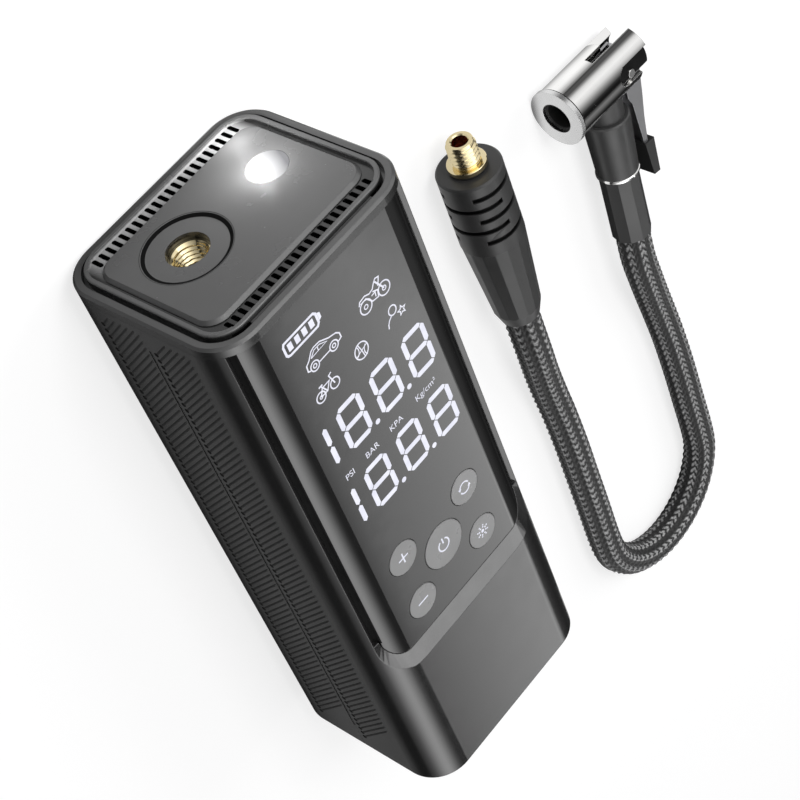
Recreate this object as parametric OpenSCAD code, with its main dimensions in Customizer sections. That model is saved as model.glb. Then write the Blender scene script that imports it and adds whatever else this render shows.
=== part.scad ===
// Portable tire inflator lying on its back, with its hose beside it.
// +X is to the right of the display, +Y points to the outlet end, +Z is up, out of the display.
// The origin is at the bottom centre of the housing. All sizes are in millimetres.

/* [Housing] */
// Width of the housing
body_w = 60; // [58:1:66]
// Length of the housing, from its lower end to the rim of the outlet end
body_l = 164; // [161:1:180]
// Depth of the housing, from its back to its front face
body_h = 52; // [51:1:60]
// Radius of the four long corners
corner_r = 10; // [9:0.5:11]
// Wall of the two half shells
wall = 2.2; // [1.8:0.1:2.3]
// Wall of the closed lower end
end_wall = 2.6; // [2:0.2:3]
// Chamfer round the lower end and round the rim
end_chamfer = 0.6; // [0.3:0.1:1]
// Height of the parting plane above the back
split_z = 25.3; // [24:0.5:28]
// Width of the seam groove in both sides
seam_w = 0.3; // [0.2:0.1:0.6]
// Depth of the seam groove
seam_d = 0.8; // [0.4:0.1:1.2]
// Distance from each end at which the seam groove stops
seam_stop = 9.8; // [8:0.2:14]

/* [Front panel] */
// Depth of the panel's surface below the front face
panel_step = 1.2; // [0.8:0.1:1.4]
// Thickness of the panel
panel_t = 1.4; // [1:0.1:1.8]
// Thickness of the shell's floor behind the panel
liner_t = 1.4; // [1:0.1:1.8]
// Angle by which the panel wraps each long corner
panel_turn = 38; // [34:1:40]
// Angle at which the groove beside the panel ends
groove_turn = 48.4; // [45:0.2:52]
// Distance from the lower end to the ledge's lower edge
ledge_at = 44.6; // [42:0.2:46]
// Length of the sloped ledge along the housing
ledge_len = 5.2; // [4:0.2:7]
// Corner radius of the ledge's lower edge
ledge_r = 11.5; // [10:0.5:12]
// Corner radius of the ledge's upper edge
panel_corner_r = 8.6; // [7:0.2:9]
// Gap round the panel
panel_gap = 0.15; // [0.1:0.05:0.3]

/* [Outlet end] */
// Height of the rim frame above the shells
rim_h = 2.6; // [2.2:0.1:3.4]
// Width of the rim frame
rim_w = 2.1; // [1.8:0.1:2.4]
// Width of the dark groove inside the rim
rim_groove = 0.9; // [0.6:0.1:1.1]
// Thickness of the rim frame's seat under the grille
seat_t = 1.8; // [1.4:0.1:2.2]
// Width of the grille's ridge
ridge_w = 1.1; // [0.8:0.1:1.4]
// Height of the grille's ridge above its floor
ridge_h = 1; // [0.6:0.1:1.6]
// Thickness of the grille's floor
grille_t = 1.8; // [1.4:0.1:1.8]
// Number of slots in each vent row
vent_n = 22; // [12:1:22]
// Spacing of the vent slots
vent_pitch = 2.08; // [1.9:0.02:2.1]
// Width of a vent slot
vent_w = 1.1; // [0.8:0.1:1.3]
// Length of a vent slot
vent_len = 3.4; // [2.4:0.1:3.4]
// Distance of a vent row's middle from the back or the front face
vent_in = 5.9; // [5.85:0.05:6]
// Distance of the top plate from the sides of the housing
plate_side = 5.1; // [5:0.1:7]
// Distance of the top plate from the back and from the front face
plate_edge = 7.75; // [7.6:0.05:9]
// Thickness of the top plate
plate_t = 1; // [0.8:0.1:1.4]
// Chamfer of the top plate's upper edge
plate_chamfer = 0.8; // [0.2:0.1:0.8]
// Radius of the sunken round seat round the outlet
seat_r = 9.3; // [8:0.1:10]
// Width of the cone round the sunken seat
seat_cone = 1.05; // [0.5:0.05:1.2]
// Depth of the sunken seat
seat_depth = 0.5; // [0.3:0.1:0.6]
// Radius of the hole over the outlet and of the hole of the lamp
port_r = 5; // [4.8:0.1:5.6]
// Radius of the outlet's thread, at its crests
outlet_r = 3.9; // [3.5:0.1:4.2]
// Length of the brass outlet, which is bored right through
socket_len = 8.3; // [6.8:0.1:10.8]
// Distance of the lamp from the right side of the housing
lamp_side = 14.5; // [13:0.5:15]
// Length of the lamp's reflector
reflector_len = 6.4; // [5:0.2:7]

/* [Keys] */
// Radius of a small key
key_r = 4.5; // [4:0.1:5]
// Radius of the power key
power_r = 6.3; // [5.5:0.1:6.8]
// Distance of the small keys from the middle line
key_x = 11.4; // [11.4:0.1:13]
// Distance of the lower key row from the lower end
key_low = 59; // [58:0.2:60]
// Distance between the two key rows
key_rows = 16.9; // [14:0.1:17]
// Travel of a key
key_travel = 0.6; // [0.3:0.1:0.6]
// How far the keys stand out of the panel
key_proud = 0.15; // [0.1:0.05:0.4]
// Radial gap round a key
key_gap = 0.15; // [0.1:0.05:0.3]

/* [Electronics] */
// Thickness of the main board
board_t = 1.6; // [1:0.2:2]
// Gap between the main board and the floor behind the panel
board_gap = 3.4; // [3.4:0.1:4]
// Width of the display module
display_w = 41; // [36:1:41]
// Length of the display module
display_l = 68; // [60:1:70]
// Radius of a battery cell
cell_r = 9.1; // [8.8:0.05:9.2]
// Length of a battery cell
cell_l = 65; // [60:1:66]
// Width of the charging port
usb_w = 9; // [8:0.1:10]
// Height of the charging port
usb_h = 3.2; // [3:0.1:3.6]

/* [Pump] */
// Distance of the pump's axis from the middle of the housing
pump_x = 10.2; // [9.8:0.2:10.6]
// Height of the pump's axis above the back
pump_z = 22.6; // [22:0.2:24]
// Radius of the piston
piston_r = 8; // [7.5:0.1:8.2]
// Radial running gap of the piston
piston_gap = 0.05; // [0.02:0.01:0.08]
// Radius of the crank
crank_r = 3; // [2.5:0.1:3]
// Length of the connecting rod between its pins
rod_len = 17; // [16.5:0.1:17.5]
// Wall of the cylinder
cylinder_wall = 1.25; // [1:0.05:1.6]
// Module of the gears
gear_module = 0.8; // [0.78:0.01:0.82]
// Number of teeth of the drive pinion
pinion_teeth = 12; // [12:1:13]
// Number of teeth of the crank gear
gear_teeth = 42; // [40:1:43]
// Width of the crank gear
gear_w = 3.8; // [3:0.1:4]
// Radius of the motor
motor_r = 13.85; // [12.5:0.05:13.9]
// Length of the motor's case
motor_l = 30; // [26:1:30]
// Radius of the motor's shaft
motor_shaft_r = 1.6; // [1.5:0.1:2]
// Radius of the cooling fan
fan_r = 11; // [9:0.5:12]
// Number of fan blades
fan_blades = 7; // [5:1:9]
// Thickness of the pump frame's plates
frame_t = 2.5; // [2:0.1:2.6]

/* [Hose] */
// Diameter of the braided hose
hose_d = 10; // [9:0.5:10]
// Radius of the hose fitting's thread
thread_r = 3.85; // [3.5:0.05:4]
// Length of the hose fitting's thread
thread_len = 6.6; // [5:0.2:8]
// Radius of the fitting's sleeve
sleeve_r = 8.65; // [8:0.05:9]
// Length of the fitting's sleeve
sleeve_len = 53.2; // [48:0.2:56]
// Width of a grip slot
grip_w = 1.5; // [1:0.1:1.8]
// Depth of a grip slot
grip_d = 1.2; // [0.6:0.1:1.4]
// Spacing of the grip slots
grip_pitch = 3.68; // [3.2:0.02:3.8]
// Number of grip slots along the sleeve
grip_n = 5; // [3:1:5]

/* [Chuck] */
// Radius of the chuck's barrel
barrel_r = 7.9; // [7.6:0.1:8.1]
// Length of the barrel on the mouth's side of the neck
barrel_front = 15.6; // [14:0.2:17]
// Length of the barrel on the far side of the neck
barrel_back = 16.8; // [15:0.2:18]
// Thickness of the mouth ring
mouth_t = 1.4; // [1:0.1:2]
// Radius of the mouth
mouth_r = 4.4; // [4:0.1:4.8]
// Radius of the neck's collar
neck_r = 5.3; // [4.8:0.1:5.6]
// Length of the ferrule
ferrule_len = 18.5; // [16:0.5:20]
// Length of the faceted sleeve on the chuck
chuck_sleeve_len = 22; // [18:0.5:24]
// Thickness of the clip lever's sheet
clip_t = 0.8; // [0.6:0.1:1]
// Width of the clip lever
clip_w = 7; // [6:0.2:8]

/* [Hidden] */
$fn = 64;
// Length by which a cut runs past the face that it opens
over = 1;
// Radial clearance of pieces that are pressed or slipped together
slip = 0.05;

// Ends of the housing and the levels of its outlet end
low_y = -body_l / 2;
top_y = body_l / 2;
shell_top = top_y - rim_h;
grille_low = top_y - grille_t;
plate_top = top_y + plate_t;
grille_in = rim_w + rim_groove;
skirt_len = 2;
skirt_low = shell_top - skirt_len;

// Levels behind the front face
panel_in = panel_step + panel_t;
liner_in = panel_in + liner_t;
panel_z = body_h - panel_step;
liner_z = body_h - liner_in;
board_z = liner_z - board_gap;
board_low = board_z - board_t;
// Flat half width of the front face, and the level at which its corners start
flat_x = body_w / 2 - corner_r;
corner_z = body_h - corner_r;
liner_low = corner_z - 4;

// Outline of the ledge, in lengths measured along the surface across the front
ledge_side_w = 1.35;
ledge_past = 0.4;
ledge_reach = 3;
ledge_side = flat_x + (groove_turn - ledge_past) * PI / 180 * corner_r;
panel_side = ledge_side - ledge_side_w;
ledge_y = low_y + ledge_at;
panel_low = ledge_y + ledge_len;
shoulder = panel_low + panel_corner_r;
ledge_top = shoulder + ledge_past;
arc_steps = 9;

// Battery cells in a triangle above the back
cell_gap = 0.8;
cell_x = cell_r + cell_gap / 2;
cell_z = wall + cell_gap + cell_r;
cell_top_z = cell_z + sqrt(pow(2 * cell_r + cell_gap, 2) - pow(cell_x, 2));
cell_y = low_y + end_wall + 0.6;

// Pump train, placed from the outlet end
port_x = -pump_x;
lamp_x = body_w / 2 - lamp_side;
mouth_chamfer = 0.3;
socket_top = grille_low + 0.3 + mouth_chamfer;
socket_low = socket_top - socket_len;
tube_len = 6.5;
tube_flange = 1.5;
head_top = socket_low - tube_len;
head_len = 6.5;
head_low = head_top - head_len;
piston_len = 15.1;
head_space = 0.4;
piston_top = head_low - head_space;
piston_low = piston_top - piston_len;
wrist_y = piston_top - 11.1;
crank_pin_y = wrist_y - rod_len;
crank_y = crank_pin_y - crank_r;
cylinder_len = 17.5;
cylinder_low = head_low - cylinder_len;
gear_distance = gear_module * (pinion_teeth + gear_teeth) / 2;
motor_y = crank_y - gear_distance;
rod_w = 4.2;
web_w = 1.8;
web_play = 0.2;
web_x = port_x - rod_w / 2 - web_play - web_w;
web_r = 6.5;
bush_out = 0.5;
frame_x = web_x - web_play - bush_out;
motor_end = frame_x + motor_l;
crank_pin_r = 2;
crank_shaft_r = 2.5;
bush_wall = 2;
pin_len = 5;
bush_flange = 1;
gear_x = frame_x - frame_t - bush_flange - 1.3;
gear_play = 0.08;
pressure_angle = 25;
gear_clear = 0.25;
rotor_end = gear_x - gear_w - 0.8;
fan_x = motor_end + 3.7;
fan_w = 5;
cap_t = 2.5;
wrist_r = 1.25;

// Frame foot on its bosses
foot_z = 5;
foot_t = 2;
foot_left = frame_x - frame_t;
foot_right = motor_end + 2;
foot_low = motor_y - motor_r - 1.5;
cross_y = cylinder_low - 2;
cross_edge = 4.5;
screw_edge = 3.5;
frame_screws = [
  [frame_x + screw_edge, foot_low + screw_edge],
  [foot_right - screw_edge, foot_low + screw_edge],
  [frame_x + screw_edge + 1, cross_y - screw_edge - 0.5],
  [foot_right - screw_edge, cross_y - screw_edge - 0.5]
];
boss_r = 3;
screw_r = 1.25;
head_r = 2.4;
screw_head_t = 1.4;

// Case screws in posts against the side walls
post_r = 3.2;
post_x = flat_x + 2.4;
post_ys = [low_y + 8, head_top + post_r + 0.1];
screw_sink = 4;
board_post_x = body_w / 2 - 7.5;
board_post_r = 1.8;
board_post_step = 10;

// Keys: name order is power, plus, minus, lamp, mode
key_y_low = low_y + key_low;
key_y_up = key_y_low + key_rows;
key_cap_h = key_proud + panel_t + liner_t;
flange_t = 0.5;
flange_w = 0.7;
stem_r = 1.7;
switch_h = 2;
switch_r = 3;
stem_low = board_z + 1.6;
keys = [
  [0, (key_y_low + key_y_up) / 2, power_r],
  [-key_x, key_y_up, key_r],
  [-key_x, key_y_low, key_r],
  [key_x, key_y_low, key_r],
  [key_x, key_y_up, key_r]
];

// Display window in the shell's floor
display_top = skirt_low - 1.4;
display_low = display_top - display_l;
display_gap = 0.3;

// Hose fitting, with its axis along +Y
fit_x = 76.8;
fit_y = -31.7;
fit_z = sleeve_r;
sleeve_top = sleeve_len;
seal_t = 0.7;
flange_y = sleeve_top + seal_t;
fit_flange_t = 1.4;
fit_flange_r = 5.15;
fit_bore = 2.1;
fit_stem_r = 4;
thread_y = flange_y + fit_flange_t + 0.2;
taper_top = 30;
taper_low = 4.2;
taper_r = 6.65;
sleeve_end_r = 5.4;
facets = 16;
grip_first = 4;
grip_turns = [39, -36];
grip_span = 125;

// Chuck, with its barrel along X and its neck along -Y, turned on the floor
chuck_at = [126, 8.1, 8.2];
chuck_angle = -3;
mouth_ring_r = 8.2;
barrel_bore = 5.6;
barrel_wall_x = -3.5;
collar_end = 12;
ferrule_r = 6.6;
ferrule_end_r = 5.85;
ring_t = 1;
ferrule_end = collar_end + ferrule_len;
chuck_sleeve_at = ferrule_end + ring_t;
chuck_sleeve_end = chuck_sleeve_at + chuck_sleeve_len;
chuck_sleeve_r = 5.6;
chuck_facets = 10;
neck_bore = 2;
neck_tube_r = 3;
neck_stem_r = 4.2;
neck_stem_at = 5.9;
pivot_x = 5.5;
lever_pin_r = 1.2;
gasket_t = 4;
lever_end = 27.6;
thumb_len = 15;
thumb_drop = 1.8;

// Route of the hose, from the fitting's sleeve to the chuck's sleeve
neck_dir = [sin(chuck_angle), -cos(chuck_angle), 0];
hose_end = chuck_at + chuck_sleeve_end * neck_dir;
hose_straight = 10;
hose_route = [
  [fit_x, fit_y, fit_z], [fit_x, fit_y - hose_straight, fit_z],
  [77.4, -50, 7.9], [78.6, -60, 6.3], [79.8, -70, 5.2], [80.6, -80, 5], [81, -95, 5],
  [81, -110, 5], [81, -125, 5], [81, -141, 5], [81.8, -147.2, 5], [84.2, -153, 5],
  [88, -158, 5], [93, -161.8, 5], [98.8, -164.2, 5], [105, -165, 5],
  [111.2, -164.2, 5], [117, -161.8, 5], [122, -158, 5], [125.8, -153, 5],
  [128.2, -147.2, 5], [129, -141, 5], [129, -125, 5], [128.9, -110, 5], [128.4, -96, 5],
  [127.4, -85, 5.2], [125.8, -75, 6], [123.9, -65, 7.4],
  hose_end + hose_straight * neck_dir, hose_end
];
hose_sides = 12;

// ---- Shared shapes ----

// Rounded rectangle about the origin
module rounded(w, h, r) {
  square([w - 2 * r, h], center = true);
  square([w, h - 2 * r], center = true);
  for (sx = [-1, 1], sy = [-1, 1])
    translate([sx * (w / 2 - r), sy * (h / 2 - r)]) circle(r = r);
}

// Half profile of a plate's edge: width w, thickness t, chamfer c on its upper rim
function edge(w, t, c) = [
  [-w / 2, 0], [w / 2, 0], [w / 2, t - c], [w / 2 - c, t], [-w / 2 + c, t], [-w / 2, t - c]
];

// Rounded block standing on the XY plane, with a chamfer round its upper rim
module slab(w, h, r, t, c) {
  rotate([90, 0, 90]) linear_extrude(w - 2 * r, center = true) polygon(edge(h, t, c));
  rotate([90, 0, 0]) linear_extrude(h - 2 * r, center = true) polygon(edge(w, t, c));
  for (sx = [-1, 1], sy = [-1, 1])
    translate([sx * (w / 2 - r), sy * (h / 2 - r), 0])
      rotate_extrude() polygon([[0, 0], [r, 0], [r, t - c], [r - c, t], [0, t]]);
}

// Bar with the housing's outline moved in by inset, from y0 to y1
module bar(inset, y0, y1) {
  translate([0, y1, body_h / 2]) rotate([90, 0, 0])
    linear_extrude(y1 - y0) rounded(body_w - 2 * inset, body_h - 2 * inset, corner_r - inset);
}

// The same bar with a chamfer round its lower end
module bar_low(inset, y0, y1, c) {
  translate([0, y1, body_h / 2]) rotate([90, 0, 0])
    slab(body_w - 2 * inset, body_h - 2 * inset, corner_r - inset, y1 - y0, c);
}

// The same bar with a chamfer round its outlet end
module bar_top(inset, y0, y1, c) {
  translate([0, y0, body_h / 2]) rotate([-90, 0, 0])
    slab(body_w - 2 * inset, body_h - 2 * inset, corner_r - inset, y1 - y0, c);
}

// Frame between two insets
module frame_ring(outer, inner, y0, y1) {
  difference() {
    bar(outer, y0, y1);
    bar(inner, y0 - over, y1 + over);
  }
}

// Cylinder along +Y from y0 to y1
module rod_y(x, z, r, y0, y1) {
  translate([x, y0, z]) rotate([-90, 0, 0]) cylinder(r = r, h = y1 - y0);
}

// Cylinder along +X from x0 to x1
module rod_x(y, z, r, x0, x1) {
  translate([x0, y, z]) rotate([0, 90, 0]) cylinder(r = r, h = x1 - x0);
}

// Sector of the housing's section that reaches round each front corner by the given angle
module front_sector(turn, y0, y1) {
  reach = 3 * corner_r;
  translate([0, y1, 0]) rotate([90, 0, 0]) linear_extrude(y1 - y0)
    polygon([
      [-flat_x, corner_z], [flat_x, corner_z],
      [flat_x + reach * sin(turn), corner_z + reach * cos(turn)],
      [-flat_x - reach * sin(turn), corner_z + reach * cos(turn)]
    ]);
}

// ---- Panel recess and ledge ----

// Angle round a front corner of a point at length s from the middle of the front face
function turn_of(s) = max(0, abs(s) - flat_x) / corner_r * 180 / PI;
function x_of(s, inset) = sign(s) * (min(abs(s), flat_x) + (corner_r - inset) * sin(turn_of(s)));
function z_of(s, inset) = corner_z + (corner_r - inset) * cos(turn_of(s));

// Lower right quarter of an outline: side line, corner arc, cross line; given as [s, y]
function corner_arc(side, low, r) = [
  for (i = [0 : arc_steps]) let (a = -90 * i / arc_steps) [side - r + r * cos(a), low + r + r * sin(a)]
];
function mirrored(points) = [for (i = [len(points) - 1 : -1 : 0]) [-points[i][0], points[i][1]]];
function whole(points) = concat(points, mirrored(points));

// The ledge's edges from the right side, round the lower corners, to the left side
function ledge_edge() = whole(concat([[ledge_side, ledge_top]], corner_arc(ledge_side, ledge_y, ledge_r)));
function panel_arc(gap) = corner_arc(panel_side - gap, panel_low + gap, panel_corner_r - gap);
function panel_edge(gap) = whole(concat([[panel_side - gap, ledge_top]], panel_arc(gap)));

// One section of the ledge's cutter at edge points low and up, with inner further inside
function ledge_section(low, up, inner) =
  let (past = low + (low - up) / 2)
  [
    [x_of(past[0], -panel_step / 2), past[1], z_of(past[0], -panel_step / 2)],
    [x_of(up[0], panel_step), up[1], z_of(up[0], panel_step)],
    [x_of(inner[0], panel_step), inner[1], z_of(inner[0], panel_step)],
    [x_of(inner[0], -ledge_reach), inner[1], z_of(inner[0], -ledge_reach)],
    [x_of(past[0], -ledge_reach), past[1], z_of(past[0], -ledge_reach)]
  ];

// Solid through sections of n points each, every side face split in two triangles
module skin(sections, n) {
  count = len(sections);
  points = [for (s = sections) for (p = s) p];
  sides = [
    for (i = [0 : count - 2], j = [0 : n - 1])
      let (a = i * n + j, b = i * n + (j + 1) % n, c = a + n, d = b + n)
      each [[a, b, d], [a, d, c]]
  ];
  first = [for (j = [n - 1 : -1 : 0]) j];
  last = [for (j = [0 : n - 1]) (count - 1) * n + j];
  polyhedron(points = points, faces = concat(sides, [first, last]));
}

module ledge_cut() {
  low = ledge_edge();
  up = panel_edge(0);
  inner = panel_edge(over);
  skin([for (i = [0 : len(low) - 1]) ledge_section(low[i], up[i], inner[i])], 5);
}

// Prism through the panel's outline, from the back of the housing up
module panel_prism(gap, y1) {
  points = [for (p = whole(panel_arc(gap))) [x_of(p[0], panel_step), p[1]]];
  side = body_w / 2 + over;
  linear_extrude(body_h + over)
    polygon(concat([[-side, shoulder], [-side, y1], [side, y1], [side, shoulder]], points));
}

module recess_cut() {
  difference() {
    intersection() {
      front_sector(groove_turn, panel_low - over, top_y);
      panel_prism(-slip, top_y);
    }
    bar(panel_in, low_y, top_y + over);
  }
}

// ---- Housing ----

module half(z0, z1) {
  translate([-body_w, -body_l, z0]) cube([2 * body_w, 2 * body_l, z1 - z0]);
}

module seam_cut() {
  for (side = [-1, 1])
    translate([side * body_w / 2 - seam_d, low_y + seam_stop, split_z - seam_w / 2])
      cube([2 * seam_d, body_l - 2 * seam_stop, seam_w]);
}

// Screw post with a rib to the side wall
module post(side, y, z0, z1) {
  translate([side * post_x, y, z0]) cylinder(r = post_r, h = z1 - z0);
  translate([side * (post_x + body_w / 2) / 2, y, (z0 + z1) / 2])
    cube([body_w / 2 - post_x, 2, z1 - z0], center = true);
}

module rear_shell() {
  color("dimgray") difference() {
    union() {
      difference() {
        bar_low(0, low_y, shell_top, end_chamfer);
        bar(wall, low_y + end_wall, top_y);
        half(split_z, body_h + over);
      }
      intersection() {
        bar(wall / 2, low_y + end_wall / 2, shell_top);
        for (side = [-1, 1], y = post_ys) post(side, y, wall / 2, split_z);
      }
      for (p = frame_screws)
        translate([p[0], p[1], wall / 2]) cylinder(r = boss_r, h = foot_z - wall / 2);
    }
    seam_cut();
    for (side = [-1, 1], y = post_ys) {
      translate([side * post_x, y, -over])
        cylinder(r = head_r + 2 * slip, h = screw_sink + screw_head_t + over);
      translate([side * post_x, y, -over]) cylinder(r = screw_r + slip, h = split_z + 2 * over);
    }
    for (p = frame_screws)
      translate([p[0], p[1], wall]) cylinder(r = screw_r + slip, h = foot_z);
  }
}

module front_shell() {
  color("dimgray") difference() {
    union() {
      difference() {
        bar_low(0, low_y, shell_top, end_chamfer);
        bar(wall, low_y + end_wall, top_y);
        half(-over, split_z);
      }
      difference() {
        bar(wall / 2, ledge_y - 4, skirt_low - 0.2);
        bar(liner_in, low_y, top_y);
        half(-over, liner_low);
      }
      intersection() {
        bar(wall / 2, low_y + end_wall / 2, shell_top);
        for (side = [-1, 1], y = post_ys) post(side, y, split_z, board_low - 0.3);
      }
      for (side = [-1, 1], p = board_posts())
        translate([side * p[0], p[1], board_z])
          cylinder(r = board_post_r, h = body_h - wall / 2 - panel_in * p[2] - board_z);
    }
    recess_cut();
    ledge_cut();
    seam_cut();
    translate([-display_w / 2 - display_gap, display_low - display_gap, liner_z - over])
      cube([display_w + 2 * display_gap, display_l + 2 * display_gap, liner_in]);
    for (k = keys)
      translate([k[0], k[1], liner_z - over]) cylinder(r = k[2] + 2 * key_gap, h = liner_in);
    for (side = [-1, 1], y = post_ys)
      translate([side * post_x, y, split_z - over]) cylinder(r = screw_r + slip, h = 12 + over);
    translate([0, low_y - over, usb_z()]) rotate([-90, 0, 0])
      linear_extrude(end_wall + 2 * over) rounded(usb_w + 4 * slip, usb_h + 4 * slip, usb_h / 2);
  }
}

// Posts that rest on the main board: distance from the middle, y, and 1 behind the panel
function board_posts() = [
  [board_post_x, post_ys[0] + board_post_step, 0],
  [board_post_x, key_y_low - key_r - 1.5, 1],
  [board_post_x, key_y_up + key_r + 3.5, 1]
];

module front_panel() {
  color([0.08, 0.08, 0.09]) difference() {
    intersection() {
      bar(panel_step, low_y, shell_top - panel_gap);
      front_sector(panel_turn, low_y, top_y);
      panel_prism(panel_gap, top_y);
    }
    bar(panel_in, low_y - over, top_y);
    for (k = keys)
      translate([k[0], k[1], liner_z]) cylinder(r = k[2] + key_gap, h = liner_in + over);
  }
}

module top_bezel() {
  color([0.4, 0.4, 0.41]) difference() {
    union() {
      bar_top(0, shell_top, top_y, end_chamfer);
      bar(panel_in + 2 * slip, skirt_low, shell_top + over);
    }
    bar(rim_w, grille_low, top_y + over);
    bar(grille_in + 0.9, skirt_low - over, top_y + over);
  }
}

// Holes over the outlet and over the lamp
module port_holes(y0, y1) {
  rod_y(port_x, pump_z, port_r, y0, y1);
  rod_y(lamp_x, pump_z, port_r, y0, y1);
}

module vent_slot(x, z) {
  translate([x, top_y + over, z]) rotate([90, 0, 0]) linear_extrude(grille_t + 2 * over)
    rounded(vent_w, vent_len, vent_w / 2 - 0.01);
}

module vent_grille() {
  color([0.45, 0.45, 0.46]) difference() {
    union() {
      bar(grille_in, grille_low, top_y);
      difference() {
        bar_top(grille_in, grille_low, top_y + ridge_h, 0.2);
        bar(grille_in + ridge_w, top_y, top_y + ridge_h + over);
      }
    }
    port_holes(grille_low - over, top_y + over);
    for (i = [0 : vent_n - 1], z = [vent_in, body_h - vent_in])
      vent_slot((i - (vent_n - 1) / 2) * vent_pitch, z);
  }
}

module top_plate() {
  color([0.4, 0.4, 0.41]) difference() {
    translate([0, top_y, body_h / 2]) rotate([-90, 0, 0])
      slab(body_w - 2 * plate_side, body_h - 2 * plate_edge, 5, plate_t, plate_chamfer);
    port_holes(top_y - over, plate_top + over);
    translate([port_x, plate_top - seat_depth, pump_z]) rotate([-90, 0, 0])
      cylinder(r1 = seat_r, r2 = seat_r + seat_cone, h = seat_depth);
    rod_y(port_x, pump_z, seat_r + seat_cone, plate_top, plate_top + over);
  }
}

// Brass outlet: neck in the hole, flange under the grille and a threaded bore right through
module outlet_socket() {
  color("goldenrod") difference() {
    union() {
      rod_y(port_x, pump_z, port_r - slip, grille_low - over, socket_top);
      rod_y(port_x, pump_z, port_r + 2, grille_low - 2, grille_low);
      rod_y(port_x, pump_z, port_r + 0.6, socket_low, grille_low - over);
    }
    rod_y(port_x, pump_z, outlet_r, socket_low - over, socket_top + over);
    translate([port_x, socket_top - mouth_chamfer, pump_z]) rotate([-90, 0, 0])
      cylinder(r1 = outlet_r, r2 = outlet_r + mouth_chamfer, h = mouth_chamfer);
  }
}

// ---- Lamp ----

module lamp_lens() {
  color([0.92, 0.94, 0.96]) rod_y(lamp_x, pump_z, port_r - slip, grille_low, plate_top);
}

module lamp_reflector() {
  color("silver") difference() {
    rod_y(lamp_x, pump_z, port_r + 1.6, grille_low - reflector_len, grille_low);
    translate([lamp_x, grille_low - reflector_len - 0.01, pump_z]) rotate([-90, 0, 0])
      cylinder(r1 = 2.2, r2 = port_r - 0.2, h = reflector_len + 0.02);
  }
}

module lamp_board() {
  board_y = grille_low - reflector_len;
  color("darkgreen") rod_y(lamp_x, pump_z, port_r + 2, board_y - 1.2, board_y);
  color("gold") rod_y(lamp_x, pump_z, 1.5, board_y - 0.2, board_y + 0.9);
}

// ---- Electronics ----

module display_module() {
  color([0.15, 0.15, 0.16])
    translate([-display_w / 2, display_low, board_z])
      cube([display_w, display_l, board_gap + liner_t - 2 * slip]);
}

module main_board() {
  side = body_w / 2 - liner_in - 1;
  board_low_y = low_y + end_wall + 0.4;
  color("darkgreen") translate([-side, board_low_y, board_low])
    cube([2 * side, skirt_low - 0.4 - board_low_y, board_t]);
}

// Key cap with its flange behind the shell's floor and its stem over the switch
module key(k) {
  color([0.36, 0.36, 0.37]) translate([k[0], k[1], 0]) {
    translate([0, 0, liner_z - 0.2]) cylinder(r = k[2], h = key_cap_h + 0.2);
    translate([0, 0, liner_z - 0.2 - flange_t]) cylinder(r = k[2] + flange_w, h = flange_t);
    translate([0, 0, stem_low]) cylinder(r = stem_r, h = liner_z - 0.2 - stem_low);
  }
}

module key_power() {
  key(keys[0]);
}

module key_plus() {
  key(keys[1]);
}

module key_minus() {
  key(keys[2]);
}

module key_lamp() {
  key(keys[3]);
}

module key_mode() {
  key(keys[4]);
}

module key_switches() {
  color("black") for (k = keys) translate([k[0], k[1], board_z]) difference() {
    cylinder(r = switch_r, h = switch_h);
    translate([0, 0, stem_low - board_z - key_travel - 0.2]) cylinder(r = stem_r + 0.2, h = switch_h);
  }
}

function cell_places() = [[-cell_x, cell_z], [cell_x, cell_z], [0, cell_top_z]];

module battery_cells() {
  color("steelblue") for (c = cell_places()) rod_y(c[0], c[1], cell_r, cell_y, cell_y + cell_l);
}

// Three saddles under the cells, joined by two rails along the back
module cell_cradle() {
  half_w = 2 * cell_r + 1.6;
  saddle_t = 3;
  rail_w = 2;
  rail_h = 6;
  first = 0.22;
  last = 0.9;
  color([0.2, 0.2, 0.2]) difference() {
    union() {
      for (t = [first, (first + last) / 2, last])
        translate([-half_w, cell_y + cell_l * t - saddle_t / 2, wall])
          cube([2 * half_w, saddle_t, cell_top_z - 2.5 - wall]);
      for (side = [-1, 1])
        translate([side * (half_w - rail_w / 2) - rail_w / 2, cell_y + cell_l * first, wall])
          cube([rail_w, cell_l * (last - first), rail_h]);
    }
    for (c = cell_places()) rod_y(c[0], c[1], cell_r + 2 * slip, cell_y - over, cell_y + cell_l + over);
  }
}

function usb_z() = board_low - usb_h / 2;

module usb_port() {
  color("silver") translate([0, low_y + 0.6, usb_z()]) rotate([-90, 0, 0]) difference() {
    linear_extrude(7.4) rounded(usb_w, usb_h, usb_h / 2 - 0.01);
    translate([0, 0, -over]) linear_extrude(6 + over) rounded(usb_w - 0.8, usb_h - 0.8, usb_h / 2 - 0.41);
  }
}

module pressure_sensor() {
  color("black") translate([port_x - 4, (head_low + head_top) / 2 - 4, board_low - 4]) cube([8, 8, 4]);
}

module sensor_tube() {
  color("white") translate([port_x, (head_low + head_top) / 2, pump_z + 9]) difference() {
    cylinder(r = 1.6, h = board_low - 4 - pump_z - 9);
    translate([0, 0, -over]) cylinder(r = 0.8, h = body_h);
  }
}

// ---- Motor and gears ----

module motor_case() {
  color("silver") difference() {
    rod_x(motor_y, pump_z, motor_r, frame_x, motor_end);
    rod_x(motor_y, pump_z, motor_shaft_r + slip, frame_x - over, motor_end + over);
  }
}

module motor_end_cap() {
  color([0.15, 0.15, 0.15]) difference() {
    rod_x(motor_y, pump_z, motor_r - 0.65, motor_end, motor_end + cap_t);
    rod_x(motor_y, pump_z, motor_shaft_r + slip, motor_end - over, motor_end + cap_t + over);
  }
}

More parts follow.
